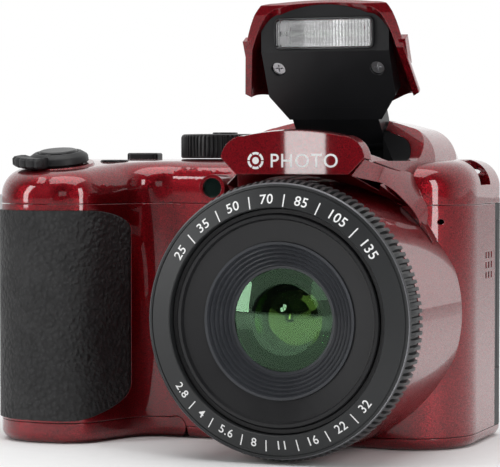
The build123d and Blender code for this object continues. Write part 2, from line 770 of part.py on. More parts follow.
def lcd_panel():
    x = RIGHT - SCREEN_RIGHT_MARGIN - SCREEN_WIDTH / 2
    rear = BODY_REAR - WALL - 0.2
    return slab_y(SCREEN_WIDTH - 4.0, SCREEN_HEIGHT - 4.0, 1.0, rear - PANEL_DEPTH, rear, x - 1.0, SCREEN_Z)


def lcd_window():
    return screen_hole(0.0, BODY_REAR - 1.2, BODY_REAR - 0.1)


def top_board():
    board = block(LEFT + 7, LENS_X - 27.5, GRIP_FRONT + 7, BODY_REAR - 6, TOP_SEAM_Z + 2.2, TOP_SEAM_Z + 2.2 + BOARD)
    board &= envelope(WALL + 2.5)
    return group([largest(board), dial_switch()])


def button_board():
    x = LEFT + PAD_FROM_LEFT
    top = TOP_SEAM_Z - 4.0
    return block(x - 13.5, x + 13.5, BODY_REAR - 5.6, BODY_REAR - 5.6 + BOARD, 8.0, top)


def flash_capacitor():
    x = LEFT + 14.6
    can = rod_z(6.4, 11.0, 50.0, x, GRIP_FRONT + 11.8)
    leads = rod_z(0.4, 50.0, 53.0, x - 2, GRIP_FRONT + 11.8) + rod_z(0.4, 50.0, 53.0, x + 2, GRIP_FRONT + 11.8)
    return can + leads


# ---- Power ----

def cell_centres():
    return [(CELL_X + CELL_PITCH * i, CELL_FRONT_Y + CELL_PITCH * j, (i + j) % 2) for i in (0, 1) for j in (0, 1)]


def case_box():
    reach = CELL_RADIUS + CELL_CLEARANCE + CASE_WALL
    return (CELL_X - reach, CELL_X + CELL_PITCH + reach, CELL_FRONT_Y - reach, CELL_FRONT_Y + CELL_PITCH + reach)


def battery_case():
    x0, x1, y0, y1 = case_box()
    top = CELL_BASE + CELL_LENGTH + 0.6
    case = block(x0, x1, y0, y1, CELL_BASE + 0.8, top + 1.0)
    case &= envelope(WALL + LIP_CLEARANCE + LIP + 0.2)
    for x, y, _ in cell_centres():
        case -= rod_z(CELL_RADIUS + CELL_CLEARANCE, 0, top, x, y)
    for i in (0, 1):
        x = CELL_X + CELL_PITCH * i
        case -= block(x - 4.2, x + 4.2, CELL_FRONT_Y - 4.2, CELL_FRONT_Y + CELL_PITCH + 4.2, top - 0.7, top)
    return largest(case)


def battery_cells():
    cells = []
    for x, y, flipped in cell_centres():
        nub = 1.0
        body = (CELL_BASE + nub, CELL_BASE + CELL_LENGTH) if flipped else (CELL_BASE, CELL_BASE + CELL_LENGTH - nub)
        cell = rod_z(CELL_RADIUS, *body, x, y)
        cell += rod_z(2.7, CELL_BASE, CELL_BASE + CELL_LENGTH, x, y)
        cells.append(cell)
    return group(cells)


def battery_contacts():
    """Spring strips over the tops of the cells, one to each pair."""
    top = CELL_BASE + CELL_LENGTH
    strips = []
    for i in (0, 1):
        x = CELL_X + CELL_PITCH * i
        strips.append(block(x - 4, x + 4, CELL_FRONT_Y - 4, CELL_FRONT_Y + CELL_PITCH + 4, top + 0.05, top + 0.45))
    return group(strips)


def door_contacts():
    """Plates with conical springs on the inside of the battery door."""
    plates = []
    for j in (0, 1):
        y = CELL_FRONT_Y + CELL_PITCH * j
        plate = block(CELL_X - 5, CELL_X + CELL_PITCH + 5, y - 5, y + 5, WALL, WALL + 0.5)
        for i in (0, 1):
            plate += Pos(CELL_X + CELL_PITCH * i, y, WALL + 1.8) * Cone(3.6, 2.0, 2.6)
        plates.append(plate)
    return group(plates)


def hinge_ears():
    """Start and end of each of the two knuckles on the base plate."""
    front = WAIST_Y + 4.0
    rear = BODY_REAR - 12.0
    return ((front, front + EAR_WIDTH), (rear, rear + EAR_WIDTH))


def door_knuckles():
    """Start and end of each knuckle on the door, beside and between the base plate's."""
    (front, front_end), (rear, rear_end) = hinge_ears()
    return ((front - 1.4, front - 0.15), (front_end + 0.15, rear - 0.15), (rear_end + 0.15, rear_end + 5.0))


def knuckle(radius, y0, y1):
    return rod_y(radius, y0, y1, DOOR_HINGE_X, DOOR_HINGE_Z)


def pin_bore():
    first = door_knuckles()[0][0]
    last = door_knuckles()[-1][1]
    return knuckle(DOOR_PIN_RADIUS + PIN_CLEARANCE, first, last)


def battery_door():
    door = SHELL & door_zone()
    for y0, y1 in door_knuckles():
        door += knuckle(DOOR_EDGE - 0.1, y0, y1)
    for y0, y1 in hinge_ears():
        door -= knuckle(DOOR_EDGE + 0.1, y0 - 0.15, y1 + 0.15)
        door -= block(DOOR_HINGE_X - DOOR_EDGE - 0.3, DOOR_HINGE_X + 5, y0 - 0.15, y1 + 0.15, -1, DOOR_HINGE_Z)
    door -= pin_bore()
    x, y = latch_place()
    door -= block(x - 5.0, x + 8.0, y - 4.2, y + 4.2, -1, 0.9)
    door -= block(x - 2.0, x + 5.0, y - 2.0, y + 2.0, -1, 5)
    return largest(door)


def latch_place():
    return (LEFT + 12.0, GRIP_FRONT + 16.0)


def door_latch():
    """The slider in the door's underside, with its hook inside."""
    x, y = latch_place()
    knob = block(x - 4.8, x + 4.8, y - 4.0, y + 4.0, 0.15, 0.85)
    for rib in range(4):
        knob -= block(x - 3.4 + 2 * rib, x - 2.6 + 2 * rib, y - 3.0, y + 3.0, 0, 0.35)
    stem = block(x - 1.9, x + 1.8, y - 1.9, y + 1.9, 0.85, WALL + 0.1)
    plate = block(x - 4.5, x + 3.0, y - 3.6, y + 3.6, WALL + 0.1, WALL + 1.3)
    hook = block(x - 4.5, x - 3.3, y - 2.4, y + 2.4, WALL + 1.3, WALL + 4.6)
    return knob + stem + plate + hook


def door_pin():
    first = door_knuckles()[0][0]
    last = door_knuckles()[-1][1]
    return knuckle(DOOR_PIN_RADIUS, first + 0.2, last - 0.2)


def card_place():
    """Centre of the memory card, between the battery case and the lens."""
    _, case_right, _, _ = case_box()
    return (case_right + 3.1, CELL_FRONT_Y + CELL_PITCH / 2 + 1.7, 9.0)


def memory_card():
    x, y, z = card_place()
    thick, wide, long = CARD
    card = block(x - thick / 2, x + thick / 2, y - wide / 2, y + wide / 2, z, z + long)
    corner = slab_x(((y - wide / 2, z + long), (y - wide / 2 + 4, z + long), (y - wide / 2, z + long - 4)), x - 3, x + 3)
    return card - corner


def card_slot():
    x, y, z = card_place()
    thick, wide, long = CARD
    body = block(x - thick / 2 - 0.9, x + thick / 2 + 0.9, y - wide / 2 - 1.2, y + wide / 2 + 1.2, z + 2, z + long + 2)
    gap = 0.2
    body -= block(x - thick / 2 - gap, x + thick / 2 + gap, y - wide / 2 - gap, y + wide / 2 + gap, z, z + long + 0.6)
    return body


# ---- Flash ----

def opened(shape):
    """Turns a piece drawn in the shut flash to its raised place."""
    return Pos(0, FLASH_HINGE_Y, HINGE_Z) * Rot(-FLASH_OPEN_ANGLE, 0, 0) * Pos(0, -FLASH_HINGE_Y, -HINGE_Z) * shape


def head_profile(gap):
    """Side view of the space that the shut flash head takes."""
    floor = DECK_HEIGHT + WELL_FLOOR + gap
    slope = (10.5 + 0.4) / 14.0
    high = DECK_HEIGHT + 30.0
    points = (
        (WELL_FRONT + gap, high),
        (WELL_FRONT + gap, floor),
        (-15.0 - gap, floor),
        (-15.0 - gap * 1.4 + (high - floor) / slope, high),
    )
    return slab_x(points, -FAR, FAR)


def head_plan(half, neck, forward=0.0):
    """Top view of the head: full width in front, tapering to the neck."""
    front, rear = (y - forward for y in HEAD_TAPER)
    points = (
        (LENS_X - half, -60), (LENS_X - half, front), (LENS_X - neck, rear), (LENS_X - neck, 20),
        (LENS_X + neck, 20), (LENS_X + neck, rear), (LENS_X + half, front), (LENS_X + half, -60),
    )
    return slab_z(points, 0, 2 * FAR)


def flash_cover():
    skin = (hump() - hump(FLASH_SKIN)) & head_profile(FLASH_GAP)
    skin &= head_plan(24.0, FLASH_ARM_HALF, COVER_TAPER_FORWARD) & slab_x(panel_face(-COVER_LIP), -FAR, FAR)
    skin -= block(LENS_X - 30, LENS_X + 30, -0.4, 30, 0, FAR)
    for side in (-1, 1):
        x = LENS_X + side * 18.8
        tab = block(x - 1.3, x + 1.3, -30.0, -22.8, DECK_HEIGHT + 0.4, DECK_HEIGHT + 2.8)
        skin += tab - hump(FLASH_SKIN / 2)
    return opened(largest(skin))


def panel_face(lift=0.0):
    """The panel's underside when shut: its front face when raised."""
    base = DECK_HEIGHT + lift
    return (
        (-37.2 + lift, base + 5.5),
        (-34.8 + lift, base + 4.0),
        (-27.2, base + 0.3),
        (-9.3 - lift, base + 0.1),
        (-9.3 - lift, base + 20),
        (-37.2 + lift, base + 20),
    )


WINDOW_SLOPE = math.degrees(math.atan2(3.7, 7.6))


def window_frame():
    """Centre of the flash window on the slanted lower face, its local Z pointing out."""
    return Pos(LENS_X, -31.0, DECK_HEIGHT + 2.15) * Rot(180 - WINDOW_SLOPE, 0, 0)


def flash_panel():
    inside = hump(FLASH_SKIN + FIT)
    panel = inside & slab_x(panel_face(), -FAR, FAR) & head_plan(FLASH_HEAD_HALF, FLASH_ARM_HALF - 0.4)
    cavity = slab_x(panel_face(1.3), -FAR, FAR) & head_plan(FLASH_HEAD_HALF - 1.3, FLASH_ARM_HALF - 2.0)
    panel -= cavity & in_front_of(-12.0)
    arm = block(LENS_X - FLASH_ARM_HALF, LENS_X + FLASH_ARM_HALF, -12.5, FLASH_HINGE_Y, HINGE_Z - 5.1, HINGE_Z + 2.9)
    arm &= slab_x(((-13, HINGE_Z - 5.1), (-9.3, HINGE_Z - 5.1), (FLASH_HINGE_Y, HINGE_Z - 3.0),
                   (FLASH_HINGE_Y, HINGE_Z + 3.0), (-13, HINGE_Z + 3.0)), -FAR, FAR)
    barrel = rod_x(3.0, LENS_X - FLASH_ARM_HALF, LENS_X + FLASH_ARM_HALF, FLASH_HINGE_Y, HINGE_Z)
    panel += (arm & inside) + barrel
    pocket = window_frame() * Box(FLASH_WINDOW_WIDTH + 0.2, FLASH_WINDOW_HEIGHT + 0.2, 6.0)
    panel -= pocket
    for side in (-1, 1):
        x = LENS_X + side * 12.3
        panel += rod_z(2.4, DECK_HEIGHT + 0.6, DECK_HEIGHT + 7.5, x, -22.6) & inside
        panel -= rod_z(1.75, DECK_HEIGHT - 2, DECK_HEIGHT + 1.9, x, -22.6)
        panel -= rod_z(0.8, DECK_HEIGHT, DECK_HEIGHT + 4.4, x, -22.6)
    panel -= rod_x(PIN_RADIUS + PIN_CLEARANCE, LENS_X - 20, LENS_X + 20, FLASH_HINGE_Y, HINGE_Z)
    return opened(largest(panel))


def flash_screws():
    screws = []
    for side in (-1, 1):
        x = LENS_X + side * 12.3
        z = DECK_HEIGHT + 1.0
        screw = rod_z(1.6, z, z + 0.9, x, -22.6) + rod_z(0.78, z + 0.9, z + 3.2, x, -22.6)
        screw -= block(x - 0.9, x + 0.9, -22.78, -22.42, z - 1, z + 0.5)
        screw -= block(x - 0.18, x + 0.18, -23.5, -21.7, z - 1, z + 0.5)
        screws.append(screw)
    return opened(group(screws))


def flash_window():
    plate = window_frame() * Box(FLASH_WINDOW_WIDTH, FLASH_WINDOW_HEIGHT, 1.3)
    return opened(plate)


def flash_reflector():
    """A bright trough behind the window."""
    frame = window_frame()
    width = FLASH_WINDOW_WIDTH - 1.2
    height = FLASH_WINDOW_HEIGHT - 0.4
    trough = frame * (Pos(0, 0, -1.75) * Box(width, height, 2.0)) & hump(FLASH_SKIN + FIT)
    hollow = frame * (Pos(0, 0, -0.4) * Rot(0, 90, 0) * Cylinder(2.3, width - 1.2))
    return opened(largest(trough - hollow))


def flash_tube():
    tube = window_frame() * (Pos(0, 0, -1.5) * Rot(0, 90, 0) * Cylinder(0.8, FLASH_WINDOW_WIDTH - 2.8))
    return opened(tube)


def flash_pin():
    """The hinge pin and the two washers beside the arm."""
    reach = FLASH_SLOT_HALF + HINGE_BOSS - 0.3
    washers = [rod_x(PIN_RADIUS, LENS_X - reach, LENS_X + reach, FLASH_HINGE_Y, HINGE_Z)]
    for side in (-1, 1):
        x = LENS_X + side * (FLASH_ARM_HALF + FLASH_SLOT_HALF) / 2
        ring = rod_x(2.7, x - 0.12, x + 0.12, FLASH_HINGE_Y, HINGE_Z)
        washers.append(ring - rod_x(PIN_RADIUS + PIN_CLEARANCE, x - 1, x + 1, FLASH_HINGE_Y, HINGE_Z))
    return group(washers)


def flash_well():
    """The black tray that the shut flash lies in, with the hinge's bearings."""
    room = hump(WALL)
    tray = room & well_room(WELL_WALL) & above(DECK_HEIGHT + WELL_FLOOR - WELL_WALL)
    tray -= well_room()
    for side in (-1, 1):
        x0 = LENS_X + (FLASH_SLOT_HALF if side > 0 else -FLASH_SLOT_HALF - HINGE_BOSS)
        tray += rod_x(2.6, x0, x0 + HINGE_BOSS, FLASH_HINGE_Y, HINGE_Z) & room
    tray -= rod_x(PIN_RADIUS + PIN_CLEARANCE, LENS_X - 20, LENS_X + 20, FLASH_HINGE_Y, HINGE_Z)
    return largest(tray)


# ---- Top controls ----

def mode_dial():
    z0 = DECK_HEIGHT + 0.3
    top = z0 + DIAL_HEIGHT
    disc = rod_z(DIAL_RADIUS, z0, top, DIAL_X, DIAL_Y)
    disc = fillet(disc.edges().filter_by_position(Axis.Z, top - 0.01, top + 0.01), 0.5)
    for index in range(24):
        angle = math.radians(15 * index)
        x = DIAL_X + (DIAL_RADIUS + 0.2) * math.cos(angle)
        y = DIAL_Y + (DIAL_RADIUS + 0.2) * math.sin(angle)
        disc -= rod_z(0.7, z0 - 1, top - 0.9, x, y)
    cap = rod_z(2.8, top, top + 0.7, DIAL_X, DIAL_Y)
    shaft = rod_z(2.5, TOP_SEAM_Z + 4.4, z0, DIAL_X, DIAL_Y)
    return disc + cap + shaft


def dial_switch():
    """The detent switch under the mode dial."""
    base = TOP_SEAM_Z + 2.2 + BOARD
    body = rod_z(6.0, base, base + 3.6, DIAL_X, DIAL_Y)
    return body - rod_z(2.56, base + 0.6, base + 5, DIAL_X, DIAL_Y)


def zoom_lever():
    ring = Pos(0, 0, 2.2) * Cylinder(LEVER_RADIUS, 2.6)
    ring = fillet(ring.edges().filter_by_position(Axis.Z, 3.4, 3.6), 0.6)
    hub = Pos(0, 0, -1.2) * Cylinder(6.0, 5.0)
    tab = Pos(0, -8.6, 2.2) * Box(9.0, 5.6, 2.6)
    tab = fillet(tab.edges().filter_by(Axis.Z).group_by(Axis.Y)[0], 1.4)
    lever = ring + hub + Rot(0, 0, -28) * tab
    for rib in range(5):
        groove = Pos(-4.0 + 2.0 * rib, -11.4, 2.9) * Box(0.7, 2.4, 3.0)
        lever -= Rot(0, 0, -28) * groove
    lever -= Cylinder(SHUTTER_RADIUS + 0.1, 30)
    return lever_frame() * lever


def shutter_button():
    cap = Pos(0, 0, 2.2) * Cylinder(SHUTTER_RADIUS, 3.6)
    cap = fillet(cap.edges().filter_by_position(Axis.Z, 3.9, 4.1), 0.7)
    stem = Pos(0, 0, -1.8) * Cylinder(1.6, 4.6)
    return lever_frame() * (cap + stem)


def power_button():
    top = deck_z(-9.0) + 0.35
    cap = rod_z(3.5, top - 2.8, top, BUTTON_X, -9.0)
    cap = fillet(cap.edges().filter_by_position(Axis.Z, top - 0.01, top + 0.01), 0.4)
    return cap + rod_z(1.2, TOP_SEAM_Z + 4.0, top - 2.8, BUTTON_X, -9.0)


def burst_button():
    top = DECK_HEIGHT + 1.5
    y = DIAL_Y + 0.4
    cap = Pos(BUTTON_X, y, top - 2.2) * Box(8.4, 5.0, 4.4)
    cap = fillet(cap.edges().filter_by(Axis.Z), 1.2)
    cap = fillet(cap.edges().filter_by_position(Axis.Z, top - 0.01, top + 0.01), 0.5)
    return cap + rod_z(1.2, TOP_SEAM_Z + 4.0, top - 4.4, BUTTON_X, y)


# ---- Rear controls ----

def rear_button(x, z, radius):
    rear = BODY_REAR + 0.5
    cap = rod_y(radius, rear - 3.0, rear, x, z)
    cap = fillet(cap.edges().filter_by_position(Axis.Y, rear - 0.01, rear + 0.01), 0.35)
    return cap + rod_y(radius * 0.45, BODY_REAR - 5.6 + BOARD + BUTTON_TRAVEL + 0.1, rear - 3.0, x, z)


def control_pad():
    x = LEFT + PAD_FROM_LEFT
    rear = BODY_REAR + 0.4
    ring = rod_y(PAD_RADIUS, rear - 2.9, rear, x, PAD_Z)
    ring = fillet(ring.edges().filter_by_position(Axis.Y, rear - 0.01, rear + 0.01), 0.4)
    return ring - rod_y(4.0 + BUTTON_GAP, rear - 5, rear + 1, x, PAD_Z)


# ---- Sides and front details ----

def strap_lugs():
    return group([lug_bar(-1), lug_bar(1)])


def sound_parts():
    """The speaker and the microphone behind their holes."""
    return group([speaker(), microphone()])


def speaker():
    z = LENS_Z + 10.5
    return rod_x(3.6, RIGHT - WALL - 2.6, RIGHT - WALL - 0.2, 8.2, z)


def microphone():
    z = TOP_SEAM_Z - 3.8
    return rod_y(1.1, -9.5, -8.0, RIGHT - 5.5, z)


def focus_lamp():
    lens = rod_y(2.3, LAMP_FRONT + 0.5, LAMP_FRONT + 2.0, LAMP_X, LAMP_Z)
    led = rod_y(1.5, LAMP_FRONT + 2.0, -9.0, LAMP_X, LAMP_Z)
    return lens + led


def port_axis():
    return RIGHT - PORT_HINGE_INSET, PORT_HINGE_Y


def port_zone(gap=0.0):
    """The part of the rear cover's side that swings out as the port door."""
    x, y = port_axis()
    zone = block(x - 4.0, RIGHT + 1, y, PORT_REAR_Y + gap, PORT_BOTTOM - gap, PORT_TOP + gap)
    return zone + rod_z(PORT_HINGE_INSET + gap, PORT_BOTTOM - gap, PORT_TOP + gap, x, y)


def port_swing_room():
    """The notch beside the hinge that the open door's face turns into."""
    x, y = port_axis()
    return block(x, RIGHT + 1, y - PORT_HINGE_INSET - SEAM, y, PORT_BOTTOM - SEAM, PORT_TOP + SEAM)


def port_pin(radius, reach):
    return rod_z(radius, PORT_BOTTOM - reach, PORT_TOP + reach, *port_axis())


def port_bay():
    """A wall inside the port door with the socket's hole in it."""
    x1 = RIGHT - WALL - 0.4
    bay = block(x1 - 1.4, RIGHT - 1, SIDE_SEAM_Y + 1.6, PORT_REAR_Y + 1.4, PORT_BOTTOM - 1.4, PORT_TOP + 1.4)
    bay &= HOLLOW
    bay -= block(x1, RIGHT, SIDE_SEAM_Y, PORT_REAR_Y + 0.2, PORT_BOTTOM - 0.2, PORT_TOP + 0.2)
    y = MAIN_BOARD_Y + BOARD + 1.9
    return bay - block(x1 - 3, x1 + 1, y - 1.5, y + 1.5, 27.9, 36.1)


def port_door():
    swing = rod_z(PORT_REAR_Y - PORT_HINGE_Y, PORT_BOTTOM, PORT_TOP, *port_axis())
    door = SHELL & port_zone() & swing
    finger_notch = block(RIGHT - 3, RIGHT + 1, PORT_REAR_Y - 0.7, PORT_REAR_Y + 1, 33, 37)
    return largest((door + port_pin(PORT_PIN_RADIUS, 1.0)) - finger_notch)


def usb_socket():
    y = MAIN_BOARD_Y + BOARD
    x1 = RIGHT - WALL - 1.8
    shell = block(x1 - 6.0, x1, y, y + 2.8, 28.0, 36.0)
    shell -= block(x1 - 5.0, x1 + 1, y + 0.5, y + 2.3, 28.5, 35.5)
    tongue = block(x1 - 5.0, x1 - 0.6, y + 1.1, y + 1.7, 29.2, 34.8)
    return shell + tongue


PARTS = {
    "top_cover": top_cover,
    "front_cover": front_cover,
    "rear_cover": rear_cover,
    "base_plate": base_plate,
    "grip_skin": grip_skin,
    "lens_collar": lens_collar,
    "lens_ring": lens_ring,
    "lens_housing": lens_housing,
    "guide_rods": guide_rods,
    "focus_lens": focus_lens,
    "zoom_barrel_rear": zoom_barrel_rear,
    "zoom_barrel_front": zoom_barrel_front,
    "ridge_ring": ridge_ring,
    "front_lens": front_lens,
    "glass_baffle": glass_baffle,
    "second_lens": second_lens,
    "shutter_unit": shutter_unit,
    "image_sensor": image_sensor,
    "chassis": chassis,
    "case_screws": case_screws,
    "tripod_bushing": tripod_bushing,
    "main_board": main_board,
    "lcd_panel": lcd_panel,
    "lcd_window": lcd_window,
    "top_board": top_board,
    "button_board": button_board,
    "flash_capacitor": flash_capacitor,
    "battery_case": battery_case,
    "battery_cells": battery_cells,
    "battery_contacts": battery_contacts,
    "door_contacts": door_contacts,
    "battery_door": battery_door,
    "door_latch": door_latch,
    "door_pin": door_pin,
    "memory_card": memory_card,
    "card_slot": card_slot,
    "flash_cover": flash_cover,
    "flash_panel": flash_panel,
    "flash_screws": flash_screws,
    "flash_window": flash_window,
    "flash_reflector": flash_reflector,
    "flash_tube": flash_tube,
    "flash_pin": flash_pin,
    "flash_well": flash_well,
    "mode_dial": mode_dial,
    "zoom_lever": zoom_lever,
    "shutter_button": shutter_button,
    "power_button": power_button,
    "burst_button": burst_button,
    "control_pad": control_pad,
    "set_button": lambda: rear_button(LEFT + PAD_FROM_LEFT, PAD_Z, 4.0),
    "strap_lugs": strap_lugs,
    "sound_parts": sound_parts,
    "focus_lamp": focus_lamp,
    "port_door": port_door,
    "usb_socket": usb_socket,
}

os.makedirs("parts", exist_ok=True)
for name, make in PARTS.items():
    export_step(make(), f"parts/{name}.step")
for name, x, z, radius in rear_buttons():
    export_step(rear_button(x, z, radius), f"parts/{name}.step")
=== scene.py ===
# %% [markdown]
# # A compact digital camera, dressed for its picture
#
# The camera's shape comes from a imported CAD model, which is loaded here as a fixed frame. This script
# gives every part its finish, replaces a few plain parts by finer ones, and sets up a small studio.
# A piece that stands for a CAD part reads its place from the frame, so it fits where the old one was.
# Only the hood lip, which has no CAD part, is drawn from a list of points in the frame's millimetres.

# %% Load the frame
import json
import math
import bmesh
import bpy
from mathutils import Matrix, Vector


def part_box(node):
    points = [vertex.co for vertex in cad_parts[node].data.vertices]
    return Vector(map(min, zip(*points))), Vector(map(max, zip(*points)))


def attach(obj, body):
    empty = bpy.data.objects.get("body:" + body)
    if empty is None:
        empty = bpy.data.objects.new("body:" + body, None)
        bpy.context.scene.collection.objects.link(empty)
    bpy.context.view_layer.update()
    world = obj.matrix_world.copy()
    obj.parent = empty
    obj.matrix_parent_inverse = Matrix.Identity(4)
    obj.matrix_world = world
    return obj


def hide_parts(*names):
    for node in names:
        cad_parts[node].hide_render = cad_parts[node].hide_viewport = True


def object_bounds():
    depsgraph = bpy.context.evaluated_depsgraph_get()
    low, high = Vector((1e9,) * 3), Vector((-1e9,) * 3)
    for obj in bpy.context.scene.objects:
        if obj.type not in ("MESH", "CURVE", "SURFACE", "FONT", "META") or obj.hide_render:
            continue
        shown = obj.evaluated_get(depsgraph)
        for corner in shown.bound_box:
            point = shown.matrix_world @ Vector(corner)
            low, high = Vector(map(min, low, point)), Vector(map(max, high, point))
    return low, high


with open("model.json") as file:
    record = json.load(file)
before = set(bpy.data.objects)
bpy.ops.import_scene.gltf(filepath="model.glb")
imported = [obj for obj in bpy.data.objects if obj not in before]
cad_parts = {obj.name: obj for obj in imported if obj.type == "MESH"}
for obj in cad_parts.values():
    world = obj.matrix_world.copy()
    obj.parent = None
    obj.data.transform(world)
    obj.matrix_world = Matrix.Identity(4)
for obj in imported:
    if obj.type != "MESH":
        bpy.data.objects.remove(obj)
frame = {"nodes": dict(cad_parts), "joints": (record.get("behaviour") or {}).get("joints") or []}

cad_low, cad_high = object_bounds()
MM = 0.001

# %% [markdown]
# ## The camera that looks at the camera
#
# A long lens from half a metre away keeps the proportions calm. A wide lens close by would swell the
# zoom ring and shrink the grip. The view comes from the right of the front, just below the flash hinge,
# and tips down by two degrees, so the whole object sits in the picture without any lens shift.

# %% Viewpoint
VIEW_TURN = math.radians(20.5)
VIEW_DISTANCE = 550 * MM
VIEW_HEIGHT = 69 * MM
AIM = Vector((-1.3, -0.5, 49.6)) * MM
SENSOR_WIDTH = 36.0
FOCAL_LENGTH = 160.5

eye = Vector((math.sin(VIEW_TURN), -math.cos(VIEW_TURN), 0)) * VIEW_DISTANCE
eye.z = VIEW_HEIGHT
lens_data = bpy.data.cameras.new("viewpoint")
lens_data.sensor_width = SENSOR_WIDTH
lens_data.lens = FOCAL_LENGTH
lens_data.clip_start = 0.01
viewpoint = bpy.data.objects.new("viewpoint", lens_data)
viewpoint.location = eye
viewpoint.rotation_mode = "QUATERNION"
viewpoint.rotation_quaternion = (AIM - eye).to_track_quat("-Z", "Y")
bpy.context.scene.collection.objects.link(viewpoint)
bpy.context.scene.camera = viewpoint
print("viewpoint at", tuple(round(v, 3) for v in eye))

# %% [markdown]
# ## Nodes in one line each
#
# A material is a small graph. Written out call by call it is hard to read, so `Recipe` keeps the graph
# of one material and offers a short word for each kind of node. Values that are the same all over are
# set on the Principled shader's own sockets, because only those survive an export.

# %% A helper for material graphs
class Recipe:
    def __init__(self, name, **sockets):
        self.material = bpy.data.materials.new(name)
        self.material.use_nodes = True
        self.tree = self.material.node_tree
        self.shader = self.tree.nodes["Principled BSDF"]
        for socket, value in sockets.items():
            self.shader.inputs[socket.replace("_", " ")].default_value = value
        self.place = self.tree.nodes.new("ShaderNodeTexCoord").outputs["Object"]

    def join(self, source, target):
        self.tree.links.new(source, target)

    def node(self, kind, **inputs):
        made = self.tree.nodes.new("ShaderNode" + kind)
        for name, value in inputs.items():
            socket = made.inputs[name.replace("_", " ")]
            if isinstance(value, bpy.types.NodeSocket):
                self.join(value, socket)
            else:
                socket.default_value = value
        return made

    def noise(self, scale, detail=3.0, roughness=0.5, vector=None):
        made = self.node("TexNoise", Scale=scale, Detail=detail, Roughness=roughness)
        self.join(vector or self.place, made.inputs["Vector"])
        return made.outputs["Fac"]

    def cells(self, scale, feature="F1", vector=None):
        made = self.node("TexVoronoi", Scale=scale)
        made.feature = feature
        self.join(vector or self.place, made.inputs["Vector"])
        return made

    def maths(self, operation, first, second=0.0):
        made = self.tree.nodes.new("ShaderNodeMath")
        made.operation = operation
        for value, socket in zip((first, second), made.inputs):
            if isinstance(value, bpy.types.NodeSocket):
                self.join(value, socket)
            else:
                socket.default_value = value
        return made.outputs[0]

    def spread(self, value, low, high, out_low=0.0, out_high=1.0):
        made = self.node("MapRange", Value=value)
        ends = {"From Min": low, "From Max": high, "To Min": out_low, "To Max": out_high}
        for name, number in ends.items():
            made.inputs[name].default_value = number
        return made.outputs["Result"]

    def vector(self, operation, *values):
        made = self.tree.nodes.new("ShaderNodeVectorMath")
        made.operation = operation
        for value, socket in zip(values, made.inputs):
            if isinstance(value, bpy.types.NodeSocket):
                self.join(value, socket)
            else:
                socket.default_value = value
        return made.outputs[0]

    def blend(self, factor, first, second):
        made = self.tree.nodes.new("ShaderNodeMix")
        made.data_type = "RGBA"
        self.join(factor, made.inputs[0])
        made.inputs[6].default_value = (*first, 1.0)
        made.inputs[7].default_value = (*second, 1.0)
        return made.outputs[2]

    def bump(self, height, depth, strength=1.0, normal=None):
        made = self.node("Bump", Height=height, Distance=depth, Strength=strength)
        if normal:
            self.join(normal, made.inputs["Normal"])
        return made.outputs["Normal"]

    def into(self, socket, source):
        self.join(source, self.shader.inputs[socket])


def shader_of(material):
    return material.node_tree.nodes["Principled BSDF"]


print("recipes ready")

# %% [markdown]
# ## Candy red
#
# The covers are sprayed twice: a red coat full of tiny aluminium flakes, then clear lacquer. A plain
# glossy red would look like toy plastic. Here the base layer is metallic, and each flake, one cell of a
# fine Voronoi pattern, gets its own small tilt and its own shade. The lacquer is the shader's coat, and
# it keeps the smooth surface, so it mirrors the studio sharply over the sparkling red. Spray rounds every
# edge a little, and the Bevel node bends the light there without touching the mesh.

# %% The sprayed covers
FLAKE_SCALE = 7000.0
FLAKE_TILT = 0.15
EDGE_SOFTNESS = 0.28 * MM


def candy_red():
    paint = Recipe("candy_red", Metallic=0.9, Roughness=0.36)
    for socket, value in {"Coat Weight": 1.0, "Coat Roughness": 0.02, "Coat IOR": 1.55}.items():
        paint.shader.inputs[socket].default_value = value
    soft = paint.node("Bevel", Radius=EDGE_SOFTNESS).outputs["Normal"]
    flakes = paint.cells(FLAKE_SCALE).outputs["Color"]
    tilt = paint.vector("MULTIPLY_ADD", flakes, (2 * FLAKE_TILT,) * 3, (-FLAKE_TILT,) * 3)
    paint.into("Normal", paint.vector("NORMALIZE", paint.vector("ADD", soft, tilt)))
    shade = paint.node("SeparateColor", Color=flakes).outputs[0]
    paint.into("Base Color", paint.blend(shade, (0.045, 0.0006, 0.002), (0.32, 0.004, 0.012)))
    ripple = paint.noise(90.0, detail=1.0)
    paint.into("Coat Normal", paint.bump(ripple, 0.00003, 0.2, soft))
    return paint.material


CANDY_RED = candy_red()
print(CANDY_RED.name)

# %% [markdown]
# ## The black plastics
#
# A camera has many blacks, and they tell the parts apart. Covers are spark-eroded plastic with a fine
# even grain. The flash panel is smoother, the lens ring is a little lighter, and the flash well is dull
# and nearly lightless. One function makes the family, and its members differ in colour, gloss and grain.

# %% Moulded plastics
def moulded(name, colour, roughness, grain=0.00002, scale=3500.0, lift=1.5):
    plastic = Recipe(name, Specular_IOR_Level=0.38)
    cloud = plastic.noise(60.0, detail=4.0)
    lighter = tuple(channel * lift for channel in colour)
    plastic.into("Base Color", plastic.blend(plastic.spread(cloud, 0.35, 0.7), colour, lighter))
    plastic.into("Roughness", plastic.spread(cloud, 0.3, 0.7, roughness - 0.05, roughness + 0.05))
    plastic.into("Normal", plastic.bump(plastic.noise(scale, detail=2.0), grain))
    return plastic.material


